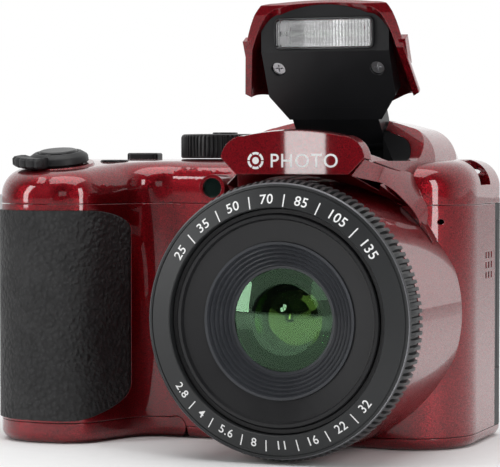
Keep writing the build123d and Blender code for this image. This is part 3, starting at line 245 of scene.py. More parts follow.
BLACK_PLASTIC = moulded("black_plastic", (0.009, 0.009, 0.01), 0.48)
SATIN_BLACK = moulded("satin_black", (0.008, 0.008, 0.009), 0.36, grain=0.00001)
RING_SATIN = moulded("ring_satin", (0.019, 0.02, 0.021), 0.42, grain=0.000012, lift=1.25)
RIDGE_GREY = moulded("ridge_grey", (0.03, 0.032, 0.037), 0.34, lift=1.4)
DARK_GLOSS = moulded("dark_gloss", (0.006, 0.006, 0.007), 0.12, grain=0.000002)
WELL_BLACK = moulded("well_black", (0.0035, 0.0035, 0.004), 0.75)
shader_of(WELL_BLACK).inputs["Specular IOR Level"].default_value = 0.12
BLUE_SLEEVE = moulded("blue_sleeve", (0.03, 0.06, 0.2), 0.3)
GREEN_BOARD = moulded("green_board", (0.012, 0.09, 0.035), 0.4)
print("plastics ready")

# %% [markdown]
# ## Grip rubber
#
# The grip is a sheet of soft rubber from a mould with a leather grain. Leather grain is made of
# rounded pebbles with creases between them, not of smooth waves, so a Voronoi pattern gives the pebbles,
# a slow noise bends them out of their grid, and a finer noise roughens their tops.

# %% Leather grain
def grip_rubber():
    rubber = Recipe("grip_rubber", Specular_IOR_Level=0.35)
    warp = rubber.node("TexNoise", Scale=650.0, Detail=2.0)
    rubber.join(rubber.place, warp.inputs["Vector"])
    bend = rubber.vector("MULTIPLY_ADD", warp.outputs["Color"], (0.0009,) * 3, rubber.place)
    pebbles = rubber.cells(1050.0, "SMOOTH_F1", bend)
    dome = rubber.spread(pebbles.outputs["Distance"], 0.0, 0.75, 1.0, 0.0)
    fine = rubber.noise(2400.0, detail=3.0)
    patch = rubber.noise(120.0, detail=2.0)
    height = rubber.maths("ADD", rubber.maths("MULTIPLY", dome, patch), rubber.maths("MULTIPLY", fine, 0.18))
    rubber.into("Normal", rubber.bump(height, 0.0008, 1.0))
    # Base colour is darker in the creases and lighter on the pebble tops: painted shade in the creases.
    crease_shade = rubber.spread(dome, 0.2, 0.9)
    rubber.into("Base Color", rubber.blend(crease_shade, (0.012, 0.012, 0.0125), (0.026, 0.026, 0.027)))
    rubber.into("Roughness", rubber.spread(patch, 0.3, 0.7, 0.5, 0.62))
    return rubber.material


GRIP_RUBBER = grip_rubber()
print(GRIP_RUBBER.name)

# %% [markdown]
# ## Metals
#
# Screws are zinc plated and a little cloudy, and the strap bars are polished. They are metallic
# shaders, told apart by their roughness, with a fine scratch pattern so that they don't look like
# mercury. The reflector behind the flash is silvered and only part metallic, so that it stays bright
# even where it faces the dark side of the room.

# %% Plated parts
def plated(name, colour, roughness, scratch=0.000004):
    metal = Recipe(name, Metallic=1.0)
    stretch = metal.node("Mapping", Vector=metal.place)
    stretch.inputs["Scale"].default_value = (400.0, 6000.0, 6000.0)
    streaks = metal.noise(1.0, detail=3.0, vector=stretch.outputs[0])
    metal.into("Base Color", metal.blend(streaks, tuple(0.8 * c for c in colour), colour))
    metal.into("Roughness", metal.spread(streaks, 0.3, 0.7, roughness, roughness + 0.12))
    metal.into("Normal", metal.bump(streaks, scratch))
    return metal.material


STEEL = plated("zinc_steel", (0.6, 0.6, 0.62), 0.28)
CHROME = plated("chrome", (0.85, 0.85, 0.86), 0.06, scratch=0.000001)
DARK_CHROME = plated("dark_chrome", (0.16, 0.16, 0.17), 0.25)
BRASS = plated("contact_gold", (0.8, 0.62, 0.3), 0.22)
SILVERED = plated("silvered", (0.98, 0.98, 0.98), 0.22)
shader_of(SILVERED).inputs["Metallic"].default_value = 0.35
print("metals ready")

# %% [markdown]
# ## Glass
#
# A lens is coated so that it mirrors only a few percent of the light, and that little is green or
# olive. The front glass is clear with a tinted mirror colour. The second glass closes the view into
# the barrel and is painted nearly black below its own green mirror, as painted shade for the dark barrel.

# %% Coated glass
# The base colour is each glass's own tint; for the second glass it is painted shade.
def coated_glass(name, tint, transmission, tint_and_shade_colour, ior=1.6, level=0.5):
    glass = Recipe(name, Roughness=0.015, IOR=ior, Specular_IOR_Level=level, Transmission_Weight=transmission)
    glass.shader.inputs["Specular Tint"].default_value = (*tint, 1.0)
    haze = glass.noise(70.0, detail=2.0)
    darker = tuple(0.93 * channel for channel in tint_and_shade_colour)
    glass.into("Base Color", glass.blend(haze, darker, tint_and_shade_colour))
    return glass.material


FRONT_GLASS = coated_glass("front_glass", (0.55, 1.0, 0.6), 1.0, (0.96, 0.99, 0.95))
# The second glass is opaque and nearly black: painted shade for the dark inside of the barrel.
BARREL_SHADE_GLASS = coated_glass("barrel_shade_glass", (0.35, 0.8, 0.12), 0.0, (0.006, 0.009, 0.003), ior=1.8, level=0.8)
WINDOW_GLASS = coated_glass("screen_window", (0.8, 0.85, 1.0), 0.0, (0.006, 0.006, 0.008), ior=1.5)
LAMP_GLASS = coated_glass("lamp_glass", (0.7, 0.9, 0.8), 0.0, (0.008, 0.016, 0.014))
FLASH_LENS = coated_glass("flash_lens", (1.0, 1.0, 1.0), 0.85, (0.97, 0.97, 0.98), ior=1.49)
print("glass ready")

# %% [markdown]
# ## Which part has which finish
#
# The frame's parts already have the right shape, so most of them only need a finish. The table goes by
# finish, as a painter's list does. A part that isn't on it would stay grey, so the loop reports any.

# %% Paint the frame's parts
FINISHES = {
    CANDY_RED: "top_cover front_cover base_plate lens_collar battery_door flash_cover",
    BLACK_PLASTIC: "rear_cover battery_case port_door door_latch lens_housing zoom_barrel_rear shutter_unit"
                   " control_pad chassis",
    WELL_BLACK: "flash_well glass_baffle",
    BARREL_SHADE_GLASS: "second_lens",
    RIDGE_GREY: "ridge_ring",
    SATIN_BLACK: "flash_panel zoom_barrel_front mode_dial zoom_lever power_button burst_button"
                 " menu_button playback_button delete_button set_button shutter_button",
    RING_SATIN: "lens_ring",
    GRIP_RUBBER: "grip_skin",
    STEEL: "case_screws tripod_bushing flash_screws flash_pin door_pin guide_rods card_slot",
    CHROME: "strap_lugs usb_socket",
    SILVERED: "flash_reflector",
    BRASS: "battery_contacts door_contacts",
    FRONT_GLASS: "front_lens focus_lens flash_tube",
    WINDOW_GLASS: "lcd_window image_sensor",
    LAMP_GLASS: "focus_lamp",
    FLASH_LENS: "flash_window",
    DARK_GLOSS: "lcd_panel sound_parts flash_capacitor memory_card record_button",
    BLUE_SLEEVE: "battery_cells",
    GREEN_BOARD: "main_board top_board button_board",
}


def dress(thing, material):
    thing.data.materials.clear()
    thing.data.materials.append(material)


painted = set()
for material, names in FINISHES.items():
    for name in names.split():
        dress(frame["nodes"][name], material)
        painted.add(name)
print("unpainted parts:", sorted(set(frame["nodes"]) - painted))

# %% [markdown]
# ## Building turned parts
#
# Rings, dials and knobs are turned on a lathe or moulded in a turned die. The same idea works in mesh
# code: an outline of radius and height is carried round an axis, step by step. A `shift` may move each
# point in or out, and that is all that a knurl or a set of teeth needs. The outline is closed, so the
# mesh is a solid. Uneven step angles put the edges of a tooth exactly where they belong.

# %% A lathe
def new_object(name, bm, material, smooth=35.0):
    bmesh.ops.remove_doubles(bm, verts=bm.verts, dist=0.0005 * MM)
    bmesh.ops.recalc_face_normals(bm, faces=bm.faces)
    mesh = bpy.data.meshes.new(name)
    bm.to_mesh(mesh)
    bm.free()
    mesh.polygons.foreach_set("use_smooth", [True] * len(mesh.polygons))
    mesh.set_sharp_from_angle(angle=math.radians(smooth))
    thing = bpy.data.objects.new(name, mesh)
    bpy.context.scene.collection.objects.link(thing)
    dress(thing, material)
    return thing


def turned(rows, angles, frame_of, shift=None):
    bm = bmesh.new()
    columns = []
    for step, angle in enumerate(angles):
        column = []
        for row, (radius, along) in enumerate(rows):
            if shift:
                radius = shift(row, step, radius)
            point = Vector((radius * math.cos(angle), radius * math.sin(angle), along)) * MM
            column.append(bm.verts.new(frame_of @ point))
        columns.append(column)
    for step, column in enumerate(columns):
        follower = columns[(step + 1) % len(columns)]
        for row in range(len(rows)):
            after = (row + 1) % len(rows)
            corners = [column[row], follower[row], follower[after], column[after]]
            if rows[row][0] > 0 or rows[after][0] > 0:
                bm.faces.new(corners)
    return bm


def even(count):
    return [math.tau * step / count for step in range(count)]


def toothed(count, shares):
    """Angles for so many teeth, each cut at the given shares of its pitch."""
    return [math.tau * (tooth + share) / count for tooth in range(count) for share in shares]


def finish(thing, body, slot, *replaced):
    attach(thing, body)
    if replaced:
        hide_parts(*replaced)
    print(thing.name, len(thing.data.vertices), "points")
    return thing


# %% [markdown]
# ## The zoom ring
#
# The ring in front of the collar has a slightly conical face, a fine groove, a polished edge and a
# hundred and twenty chunky teeth, so that fingers find it. A bump texture would leave a smooth
# silhouette, and the teeth show against the light behind, so they are real geometry. Each tooth ramps up
# from the polished edge and then runs straight back.

# %% Lens axis and ring
ring_low, ring_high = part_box("lens_ring")
LENS_X = (ring_low.x + ring_high.x) / 2
LENS_Z = (ring_low.z + ring_high.z) / 2
RING_RADIUS = (ring_high.x - ring_low.x) / 2 / MM
FACE_WIDTH = 6.2
EDGE_INSET = 0.8
MOUTH_ROUND = 0.2
FACE_DEPTH = 1.4
TEETH = 120
TOOTH_HEIGHT = 0.95
MOUTH = RING_RADIUS - FACE_WIDTH
FACE_SLOPE = FACE_DEPTH / (FACE_WIDTH - EDGE_INSET)
y_is_depth = Matrix(((1, 0, 0, 0), (0, 0, 1, 0), (0, 1, 0, 0), (0, 0, 0, 1)))
lens_frame = Matrix.Translation((LENS_X, ring_low.y, LENS_Z)) @ y_is_depth
print("lens axis at", round(LENS_X, 4), round(LENS_Z, 4), "ring radius", round(RING_RADIUS, 2))


def zoom_ring():
    length = (ring_high.y - ring_low.y) / MM
    edge = FACE_DEPTH
    rows = [
        (MOUTH, 4.4), (MOUTH, 0.25), (MOUTH + MOUTH_ROUND, 0.0),
        (RING_RADIUS - 1.75, FACE_SLOPE * 4.3), (RING_RADIUS - 1.7, FACE_SLOPE * 4.3 + 0.22),
        (RING_RADIUS - 1.5, FACE_SLOPE * 4.5 + 0.22), (RING_RADIUS - 1.45, FACE_SLOPE * 4.6),
        (RING_RADIUS - 0.9, edge), (RING_RADIUS - 0.62, edge + 0.3), (RING_RADIUS - 0.6, edge + 0.75),
        (RING_RADIUS - 0.5, edge + 0.95), (RING_RADIUS - 0.06, edge + 2.5), (RING_RADIUS, edge + 2.8),
        (RING_RADIUS, length - 0.35), (RING_RADIUS - 0.35, length), (RING_RADIUS - 1.2, length),
        (MOUTH + 1.65, length), (MOUTH + 1.65, 4.4),
    ]
    cut_rows = range(10, 15)

    def shift(row, step, radius):
        in_valley = step % 4 in (0, 1)
        return RING_RADIUS - TOOTH_HEIGHT if in_valley and row in cut_rows else radius

    bm = turned(rows, toothed(TEETH, (0.0, 0.34, 0.43, 0.91)), lens_frame, shift)
    return new_object("zoom_ring", bm, RING_SATIN, smooth=28.0)


def edge_line():
    """The polished edge in front of the teeth."""
    radius, depth = RING_RADIUS - EDGE_INSET, FACE_DEPTH
    rows = [
        (radius - 0.16, depth - 0.02), (radius, depth - 0.06),
        (radius + 0.16, depth + 0.18), (radius, depth + 0.3),
    ]
    return new_object("edge_line", turned(rows, even(240), lens_frame), DARK_CHROME)


finish(zoom_ring(), "camera_body", "lens_ring_satin", "lens_ring")
finish(edge_line(), "camera_body", "steel")

# %% [markdown]
# ## White marks
#
# The figures on the ring are printed. They are made from Blender's own plain letter shapes, turned
# into a mesh with a little thickness, and then bent: the distance along the line becomes an angle
# about the lens, and the height becomes a radius. The scale is made of plain numbers and ticks.

# %% Printing
def printed_ink():
    ink = Recipe("white_ink", Roughness=0.5, Specular_IOR_Level=0.3)
    wear = ink.noise(900.0, detail=2.0)
    ink.into("Base Color", ink.blend(wear, (0.78, 0.78, 0.78), (0.9, 0.9, 0.9)))
    return ink.material


WHITE_INK = printed_ink()
INK_DEPTH = 0.02
PRINTED_SLOPE = FACE_SLOPE * 4.3 / 4.25


def letter_mesh(words, size, spacing=1.0):
    curve = bpy.data.curves.new("letters", "FONT")
    curve.body = words
    curve.size = size
    curve.extrude = INK_DEPTH
    curve.align_x = "CENTER"
    curve.space_character = spacing
    curve.resolution_u = 4
    curve.offset = size * 0.008
    holder = bpy.data.objects.new("letters", curve)
    bpy.context.scene.collection.objects.link(holder)
    bpy.context.view_layer.update()
    graph = bpy.context.evaluated_depsgraph_get()
    mesh = bpy.data.meshes.new_from_object(holder.evaluated_get(graph))
    bpy.data.objects.remove(holder)
    bm = bmesh.new()
    bm.from_mesh(mesh)
    bpy.data.meshes.remove(mesh)
    return bm


def bend_round(bm, radius, middle, sense):
    """sense 1 puts the feet of the figures towards the lens, -1 puts their heads there."""
    for vertex in bm.verts:
        along, up, proud = vertex.co
        angle = math.radians(middle) - sense * along / radius
        reach = radius + sense * up
        depth = (reach - MOUTH - MOUTH_ROUND) * PRINTED_SLOPE - INK_DEPTH - proud
        point = Vector((reach * math.cos(angle), reach * math.sin(angle), depth)) * MM
        vertex.co = lens_frame @ point


def ring_scale():
    upper = letter_mesh("25  |  35  |  50  |  70  |  85  |  105  |  135", 3.0, 1.08)
    bend_round(upper, MOUTH + 1.0, 91.0, 1)
    lower = letter_mesh("2.8  |  4  |  5.6  |  8  |  11  |  16  |  22  |  32", 2.8, 1.1)
    bend_round(lower, MOUTH + 3.1, -93.0, -1)
    mesh = bpy.data.meshes.new("half")
    lower.to_mesh(mesh)
    upper.from_mesh(mesh)
    lower.free()
    bpy.data.meshes.remove(mesh)
    return new_object("ring_scale", upper, WHITE_INK)


finish(ring_scale(), "camera_body", "flash_lens")

# %% [markdown]
# ## Plain signs
#
# Signs on buttons and plates are flat shapes a few hundredths of a millimetre thick. Each one is a list
# of outlines on a small drawing board, given by its origin and its two directions. The name plate has a
# ring of aperture blades and a generic word, and names no maker.

# %% A sign maker
def sign(name, outlines, board, material=None, thickness=0.03):
    bm = bmesh.new()
    for outline in outlines:
        faces = []
        for depth in (0.0, thickness):
            corners = [bm.verts.new(board @ (Vector((x, y, depth)) * MM)) for x, y in outline]
            faces.append(corners)
        bm.faces.new(faces[0][::-1])
        bm.faces.new(faces[1])
        for index in range(len(outline)):
            after = (index + 1) % len(outline)
            bm.faces.new([faces[0][index], faces[0][after], faces[1][after], faces[1][index]])
    return new_object(name, bm, material or WHITE_INK)


def board_at(origin, right, up):
    right, up = Vector(right).normalized(), Vector(up).normalized()
    out = right.cross(up)
    columns = Matrix((right, up, out)).transposed().to_4x4()
    return Matrix.Translation(origin) @ columns


def bar(x0, x1, y0, y1):
    return [(x0, y0), (x1, y0), (x1, y1), (x0, y1)]


def arc(radius, start, end, steps=24, x=0.0, y=0.0):
    angles = [math.radians(start + (end - start) * step / steps) for step in range(steps + 1)]
    return [(x + radius * math.cos(angle), y + radius * math.sin(angle)) for angle in angles]


def band(radius, width, start, end, steps=24, x=0.0, y=0.0):
    return arc(radius, start, end, steps, x, y) + arc(radius - width, end, start, steps, x, y)


EMBLEM = (-8.7, 1.3)


def name_plate():
    plate_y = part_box("top_cover")[0].y
    board = board_at((LENS_X, plate_y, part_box("flash_well")[0].z), (1, 0, 0), (0, 0, 1))
    blades = [band(1.95, 0.55, 60 * index + 4, 60 * index + 56, 6, *EMBLEM) for index in range(6)]
    dot = [arc(0.8, 0, 345, 23, *EMBLEM)]
    board_of_word = board @ Matrix.Translation(Vector((2.9, -0.2, 0)) * MM)
    word = letter_mesh("PHOTO", 4.4, 1.12)
    for vertex in word.verts:
        vertex.co = board_of_word @ (vertex.co * MM)
    mesh = bpy.data.meshes.new("word")
    word.to_mesh(mesh)
    word.free()
    emblem = sign("plate_emblem", blades + dot, board)
    joined = bmesh.new()
    joined.from_mesh(emblem.data)
    joined.from_mesh(mesh)
    joined.to_mesh(emblem.data)
    joined.free()
    bpy.data.meshes.remove(mesh)
    return emblem


finish(name_plate(), "camera_body", "flash_lens")

# %% [markdown]
# ## The flash head
#
# A flash lamp sits behind a clear plate with fine upright ribs, which spread the light. The CAD plate
# is a plain block, so a ribbed one replaces it: a zigzag front, rounded ends and a flat back. Its place
# is taken from the block's own largest face, so it stays right if the head is drawn at another angle.

# %% Ribbed window, its frame and the tube's clips
def window_board():
    block = frame["nodes"]["flash_window"].data
    faces = [face for face in block.polygons if face.normal.y < 0]
    front = max(faces, key=lambda face: face.area)
    low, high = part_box("flash_window")
    out = front.normal.copy()
    up = out.cross(Vector((1, 0, 0)))
    middle = (low + high) / 2
    depth = max((block.vertices[i].co - middle).dot(out) for i in front.vertices)
    return board_at(middle + out * depth, (1, 0, 0), up), (high.x - low.x) / MM


HEAD_BOARD, WINDOW_WIDTH = window_board()
WINDOW_HEIGHT = 6.4
RIB_COUNT = 30
RIB_DEPTH = 0.28


def end_drop(x, half, corner):
    """How much lower the outline is near a rounded end."""
    inside = abs(x) - (half - corner)
    return corner - math.sqrt(max(corner ** 2 - max(inside, 0.0) ** 2, 0.0))


def ribbed_window():
    half = WINDOW_WIDTH / 2
    bm = bmesh.new()
    rails = []
    for index in range(2 * RIB_COUNT + 1):
        x = -half + WINDOW_WIDTH * index / (2 * RIB_COUNT)
        reach = WINDOW_HEIGHT / 2 - end_drop(x, half, 0.9)
        front = -0.05 - (RIB_DEPTH if index % 2 else 0.0)
        corners = ((x, -reach, front), (x, reach, front), (x, reach, -0.7), (x, -reach, -0.7))
        rails.append([bm.verts.new(HEAD_BOARD @ (Vector(corner) * MM)) for corner in corners])
    for first, second in zip(rails, rails[1:]):
        for index in range(4):
            after = (index + 1) % 4
            bm.faces.new([first[index], first[after], second[after], second[index]])
    bm.faces.new(rails[0])
    bm.faces.new(rails[-1][::-1])
    return new_object("ribbed_window", bm, FLASH_LENS, smooth=10.0)


def rounded_outline(width, height, corner, steps=6):
    points = []
    for turn, (sx, sy) in enumerate(((1, 1), (-1, 1), (-1, -1), (1, -1))):
        x, y = sx * (width / 2 - corner), sy * (height / 2 - corner)
        points += arc(corner, 90 * turn, 90 * turn + 90, steps, x, y)
    return points


def ring_between(name, layers, board, material):
    """A closed frame through a list of (outline, depth) loops."""
    bm = bmesh.new()
    loops = []
    for outline, depth in layers:
        loops.append([bm.verts.new(board @ (Vector((x, y, depth)) * MM)) for x, y in outline])
    for level, loop in enumerate(loops):
        follower = loops[(level + 1) % len(loops)]
        for index in range(len(loop)):
            after = (index + 1) % len(loop)
            bm.faces.new([loop[index], loop[after], follower[after], follower[index]])
    return new_object(name, bm, material)


def window_bezel():
    width, height = WINDOW_WIDTH, WINDOW_HEIGHT
    layers = [
        (rounded_outline(width + 0.05, height + 0.05, 0.9), -0.6),
        (rounded_outline(width + 0.05, height + 0.05, 0.9), 0.12),
        (rounded_outline(width + 0.3, height + 0.3, 1.0), 0.26),
        (rounded_outline(width + 0.9, height + 0.9, 1.3), 0.26),
        (rounded_outline(width + 1.2, height + 1.2, 1.45), 0.02),
        (rounded_outline(width + 1.2, height + 1.2, 1.45), -0.6),
    ]
    return ring_between("window_bezel", layers, HEAD_BOARD, DARK_GLOSS)


def tube_clips():
    outlines = []
    for y in (-1.55, 1.55):
        outlines.append(bar(-11.2, -9.5, y - 0.95, y + 0.95))
        outlines.append(bar(-9.1, -8.9, y - 1.1, y + 1.1))
    board = HEAD_BOARD @ Matrix.Translation((0, 0, -1.1 * MM))
    return sign("tube_clips", outlines, board, WHITE_INK, thickness=0.35)


finish(ribbed_window(), "flash_head", "flash_lens", "flash_window")
finish(window_bezel(), "flash_head", "dark_glass")
finish(tube_clips(), "flash_head", "flash_lens")

# %% [markdown]
# ## The mode dial
#
# The dial is a black drum with fine upright flutes, a shallow dish on top with its printed modes, and
# a small raised boss. Sixty flutes keep them as fine as the fingertips expect.

# %% Fluted dial
dial_low, dial_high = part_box("mode_dial")
DIAL_X = (dial_low.x + dial_high.x) / 2
DIAL_Y = (dial_low.y + dial_high.y) / 2
DIAL_RADIUS = (dial_high.x - dial_low.x) / 2 / MM
DIAL_TOP = (dial_high.z / MM) - 0.7
FLUTES = 60
dial_frame = Matrix.Translation((DIAL_X, DIAL_Y, 0))


def fluted_dial():
    top = DIAL_TOP
    base = top - 6.05
    radius = DIAL_RADIUS
    rows = [
        (0.0, top - 0.12), (2.7, top - 0.12), (2.8, top - 0.02), (2.8, top + 0.35), (2.75, top + 0.45),
        (3.1, top + 0.45), (3.3, top - 0.25), (radius - 1.9, top - 0.25), (radius - 1.5, top),
        (radius - 0.75, top), (radius - 0.3, top - 0.25), (radius - 0.02, top - 0.8), (radius, top - 1.0),
        (radius, base + 0.5), (radius - 0.1, base + 0.25), (radius - 0.3, base), (0.0, base),
    ]

    def shift(row, step, reach):
        return reach - 0.42 if row in (11, 12, 13) and step % 4 in (0, 1) else reach

    bm = turned(rows, toothed(FLUTES, (0.0, 0.36, 0.5, 0.86)), dial_frame, shift)
    return new_object("fluted_dial", bm, SATIN_BLACK, smooth=30.0)


def dial_signs():
    whole = bmesh.new()
    for index, words in enumerate(("P", "A", "S", "M", "1", "2", "3", "4")):
        bm = letter_mesh(words, 2.5)
        turn = Matrix.Rotation(math.radians(-45 * index), 4, "Z")
        shift = Matrix.Translation(Vector((0, DIAL_RADIUS - 4.1, DIAL_TOP - 0.25 + INK_DEPTH)) * MM)
        for vertex in bm.verts:
            vertex.co = dial_frame @ turn @ shift @ (vertex.co * MM)
        mesh = bpy.data.meshes.new("mode")
        bm.to_mesh(mesh)
        bm.free()
        whole.from_mesh(mesh)
        bpy.data.meshes.remove(mesh)
    return new_object("dial_signs", whole, WHITE_INK)


finish(fluted_dial(), "mode_dial", "satin_black", "mode_dial")
finish(dial_signs(), "mode_dial", "flash_lens")

# %% [markdown]
# ## The zoom lever
#
# The lever is a flared collar round the shutter button with a ribbed finger tab. Its axis leans a few
# degrees with the deck, and the frame's joint list says exactly how, so the piece is drawn upright and
# then set on that axis. The tab is a sector of a disc whose rim rises and falls in five ribs.

# %% Ribbed lever
def joint(name):
    return next(entry for entry in frame["joints"] if entry["name"] == name)


def axis_frame(name):
    entry = joint(name)
    axis = Vector(entry["axis"]).normalized()
    right = Vector((1, 0, 0))
    turn = Matrix((right, axis.cross(right), axis)).transposed().to_4x4()
    return Matrix.Translation(entry["pos_m"]) @ turn


lever_frame = axis_frame("zoom_lever_turn")
plain_lever = frame["nodes"]["zoom_lever"].data
lever_top = max((lever_frame.inverted() @ vertex.co).z for vertex in plain_lever.vertices) / MM
BUTTON_RADIUS = 4.8
TAB_MIDDLE = -118.0
TAB_HALF = 33.0
TAB_RIBS = 5.0
print("lever top", round(lever_top, 2), "above its joint")


def lever_collar():
    top = lever_top
    rows = [
        (BUTTON_RADIUS + 0.12, top - 5.0), (BUTTON_RADIUS + 0.12, top - 0.25), (BUTTON_RADIUS + 0.4, top),
        (BUTTON_RADIUS + 1.0, top), (7.0, top - 0.75), (7.3, top - 1.2), (7.4, top - 2.4),
        (7.1, top - 2.65), (5.9, top - 2.65), (5.9, top - 5.0),
    ]
    return turned(rows, even(96), lever_frame)


def lever_tab(bm):
    top = lever_top - 0.1
    steps = 60
    columns = []
    for step in range(steps + 1):
        share = step / steps
        angle = math.radians(TAB_MIDDLE - TAB_HALF + 2 * TAB_HALF * share)
        edge = min(share, 1 - share)
        rib = abs(math.sin(math.pi * TAB_RIBS * share)) ** 0.6
        reach = 9.4 + 1.5 * min(1.0, edge * 9.0) + 0.5 * rib
        outline = (
            (6.8, top - 2.5), (reach - 0.7, top - 2.5), (reach, top - 1.9), (reach, top - 0.45),
            (reach - 0.55, top + 0.06), (reach - 1.4, top), (6.8, top - 0.45),
        )
        column = []
        for radius, height in outline:
            point = Vector((radius * math.cos(angle), radius * math.sin(angle), height)) * MM
            column.append(bm.verts.new(lever_frame @ point))
        columns.append(column)
    for first, second in zip(columns, columns[1:]):
        for index in range(7):
            after = (index + 1) % 7
            bm.faces.new([first[index], second[index], second[after], first[after]])
    bm.faces.new(columns[0])
    bm.faces.new(columns[-1][::-1])


def ribbed_lever():
    bm = lever_collar()
    lever_tab(bm)
    return new_object("ribbed_lever", bm, BLACK_PLASTIC, smooth=32.0)


finish(ribbed_lever(), "zoom_lever", "black_plastic", "zoom_lever")

# %% [markdown]
# ## The hood beside the name plate
#
# On the right of the plate the hump ends in a raised lip that sweeps back and down over the collar, like
# the peak of a cap. It is described by two lines in space, its lower edge and its crease, with a smooth
# curve through five points each. The solid between them is closed inside the hump.

# %% Swept lip
HOOD_EDGE = [
    (38.2, -41.0, 64.2), (43.0, -31.4, 62.2), (46.0, -25.4, 58.3), (47.9, -21.5, 54.4), (48.2, -18.6, 49.6),
]
HOOD_CREASE = [
    (41.2, -41.0, 67.9), (43.4, -28.9, 65.6), (46.6, -21.0, 61.1), (49.3, -18.6, 56.9), (48.6, -17.9, 50.0),
]
HOOD_ROOF = [(-1.4, 1.6, 2.0), (-0.9, 1.0, 2.1), (-1.6, 2.5, 4.5), (-3.0, 5.0, 3.0), (-3.0, 5.0, 0.5)]


def smooth_line(points, steps=8):
    """A curve that passes through every point."""
    knots = [Vector(point) for point in points]
    knots = [2 * knots[0] - knots[1]] + knots + [2 * knots[-1] - knots[-2]]
    line = []
    for a, b, c, d in zip(knots, knots[1:], knots[2:], knots[3:]):
        for step in range(steps):
            t = step / steps
            square, cube = 2 * a - 5 * b + 4 * c - d, 3 * b - a - 3 * c + d
            line.append(0.5 * (2 * b + (c - a) * t + square * t ** 2 + cube * t ** 3))
    line.append(knots[-2])
    return line


def hood_lip():
    edge, crease = smooth_line(HOOD_EDGE), smooth_line(HOOD_CREASE)
    roof = smooth_line([Vector(a) + Vector(b) for a, b in zip(HOOD_CREASE, HOOD_ROOF)])
    bm = bmesh.new()
    loops = []
    for low, top, inner in zip(edge, crease, roof):
        buried = low + Vector((-2.0, 3.0, 1.5))
        loops.append([bm.verts.new(point * MM) for point in (low, top, inner, buried)])
    for first, second in zip(loops, loops[1:]):
        for index in range(4):
            after = (index + 1) % 4
            bm.faces.new([first[index], second[index], second[after], first[after]])
    bm.faces.new(loops[0])
    bm.faces.new(loops[-1][::-1])
    return new_object("hood_lip", bm, CANDY_RED, smooth=25.0)


finish(hood_lip(), "camera_body", "red_shell")

# %% [markdown]
# ## Signs on the buttons
#
# The buttons carry the usual plain pictures: bars for a menu, a triangle for playback, a bin, a red dot
# for filming, a broken ring for the power switch and stacked frames for a burst of pictures.

# %% Button signs
RED_INK = moulded("red_ink", (0.5, 0.01, 0.01), 0.4)


def rear_board(node):
    low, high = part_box(node)
    return board_at(((low.x + high.x) / 2, high.y - 0.04 * MM, (low.z + high.z) / 2), (-1, 0, 0), (0, 0, 1))


def top_sign_board(node):
    low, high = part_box(node)
    return board_at(((low.x + high.x) / 2, (low.y + high.y) / 2, high.z - 0.04 * MM), (1, 0, 0), (0, 1, 0))


MENU_BARS = [bar(-1.1, 1.1, y - 0.15, y + 0.15) for y in (-0.7, 0.0, 0.7)]
TRIANGLE = [[(-0.7, -1.0), (1.0, 0.0), (-0.7, 1.0)]]
BIN = [bar(-0.7, 0.7, -1.1, 0.5), bar(-1.0, 1.0, 0.7, 0.9), bar(-0.35, 0.35, 0.95, 1.15)]
POWER = [band(1.5, 0.3, 120, 420), bar(-0.15, 0.15, 0.3, 1.7)]
FRAMES = [
    bar(-2.0, 0.6, -1.1, 0.3), bar(-1.4, 1.2, 0.45, 0.6), bar(1.35, 1.5, -0.8, 0.6), bar(-0.8, 1.8, 0.8, 0.95),
]
PAD_MARKS = [[(-0.5, 6.3), (0.5, 6.3), (0.0, 7.1)], [(-0.5, -6.3), (0.0, -7.1), (0.5, -6.3)],
             [(-6.3, -0.5), (-6.3, 0.5), (-7.1, 0.0)], [(6.3, -0.5), (7.1, 0.0), (6.3, 0.5)]]
SIGNS = [
    ("menu_button", MENU_BARS, rear_board), ("playback_button", TRIANGLE, rear_board),
    ("delete_button", BIN, rear_board), ("control_pad", PAD_MARKS, rear_board),
    ("power_button", POWER, top_sign_board), ("burst_button", FRAMES, top_sign_board),
]
for node, outlines, board_of in SIGNS:
    finish(sign(node + "_sign", outlines, board_of(node), thickness=0.06), node, "flash_lens")
dot = sign("record_dot", [arc(1.4, 0, 350, 35)], rear_board("record_button"), RED_INK, 0.06)
finish(dot, "record_button", "red_shell")

# %% [markdown]
# ## The studio
#
# A glossy red object shows its surroundings more than its own colour. So the room matters: white
# behind, dark in front, and a few softboxes that draw long clean highlights on the curved covers. The
# floor is plain and pale. The sky is a gradient by direction, and rays from the lens see plain white.

# %% Floor and sky
def floor_plate():
    mesh = bpy.data.meshes.new("floor")
    reach = 3.0
    corners = [(-reach, -reach, 0), (reach, -reach, 0), (reach, reach, 0), (-reach, reach, 0)]
    mesh.from_pydata(corners, [], [(0, 1, 2, 3)])
    floor = bpy.data.objects.new("floor", mesh)
    floor.location.z = cad_low.z - 0.05 * MM
    bpy.context.scene.collection.objects.link(floor)
    paper = Recipe("floor_paper", Roughness=0.8, Specular_IOR_Level=0.2)
    fibre = paper.noise(300.0, detail=3.0)
    paper.into("Base Color", paper.blend(fibre, (0.86, 0.86, 0.86), (0.9, 0.9, 0.9)))
    dress(floor, paper.material)


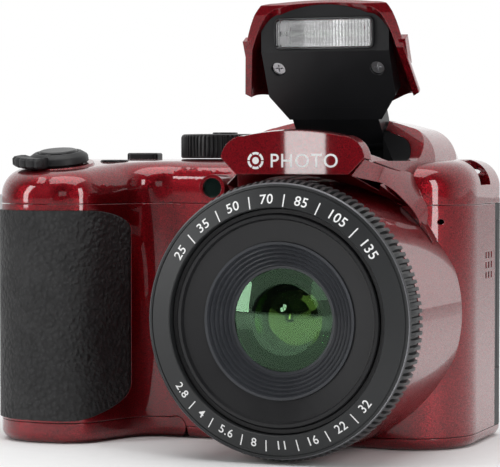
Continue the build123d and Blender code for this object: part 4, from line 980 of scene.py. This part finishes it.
def sky():
    world = bpy.data.worlds.new("studio")
    bpy.context.scene.world = world
    world.use_nodes = True
    tree = world.node_tree
    back = tree.nodes["Background"]
    place = tree.nodes.new("ShaderNodeTexCoord")
    split = tree.nodes.new("ShaderNodeSeparateXYZ")
    tree.links.new(place.outputs["Generated"], split.inputs[0])
    ramp = tree.nodes.new("ShaderNodeMapRange")
    tree.links.new(split.outputs["Y"], ramp.inputs["Value"])
    ends = {"From Min": -0.25, "From Max": 0.35, "To Min": 0.015, "To Max": 1.0}
    for name, value in ends.items():
        ramp.inputs[name].default_value = value
    ray = tree.nodes.new("ShaderNodeLightPath")
    pick = tree.nodes.new("ShaderNodeMath")
    pick.operation = "MAXIMUM"
    tree.links.new(ramp.outputs["Result"], pick.inputs[0])
    tree.links.new(ray.outputs["Is Camera Ray"], pick.inputs[1])
    tree.links.new(pick.outputs[0], back.inputs["Strength"])
    back.inputs["Color"].default_value = (1, 1, 1, 1)


floor_plate()
sky()
print("floor and sky ready")

# %% Softboxes
def softbox(name, place, target, width, height, watts):
    data = bpy.data.lights.new(name, "AREA")
    data.shape = "RECTANGLE"
    data.size = width
    data.size_y = height
    data.energy = watts
    light = bpy.data.objects.new(name, data)
    light.location = place
    light.rotation_mode = "QUATERNION"
    light.rotation_quaternion = (Vector(target) - Vector(place)).to_track_quat("-Z", "Y")
    light.visible_camera = False
    bpy.context.scene.collection.objects.link(light)


MIDDLE = (cad_low + cad_high) / 2
softbox("left_strip", (-0.75, -0.75, 0.45), MIDDLE, 0.22, 0.9, 5.0)
softbox("right_strip", (0.85, -0.55, 0.35), MIDDLE, 0.18, 0.8, 3.5)
softbox("overhead", (0.0, -0.15, 0.9), MIDDLE, 0.9, 0.6, 5.0)
softbox("front_fill", (0.25, -1.4, 0.5), MIDDLE, 0.5, 0.5, 0.8)

# %% [markdown]
# ## A glare in the flash window
#
# Glass only looks like glass when something bright mirrors in it. The direction from the window to the
# viewpoint is turned over about the window's own normal, and a small softbox stands at its end. The name
# plate faces nearly the same way, so it catches the same light as an upright streak.

# %% Mirror light
window_out = (HEAD_BOARD.to_3x3() @ Vector((0, 0, 1))).normalized()
to_eye = (eye - HEAD_BOARD.translation).normalized()
glare_way = 2 * window_out.dot(to_eye) * window_out - to_eye
glare_place = HEAD_BOARD.translation + 1.2 * glare_way
softbox("window_glare", glare_place, HEAD_BOARD.translation, 0.03, 0.06, 0.06)
bpy.context.scene.view_settings.view_transform = "Standard"
print("lights ready")
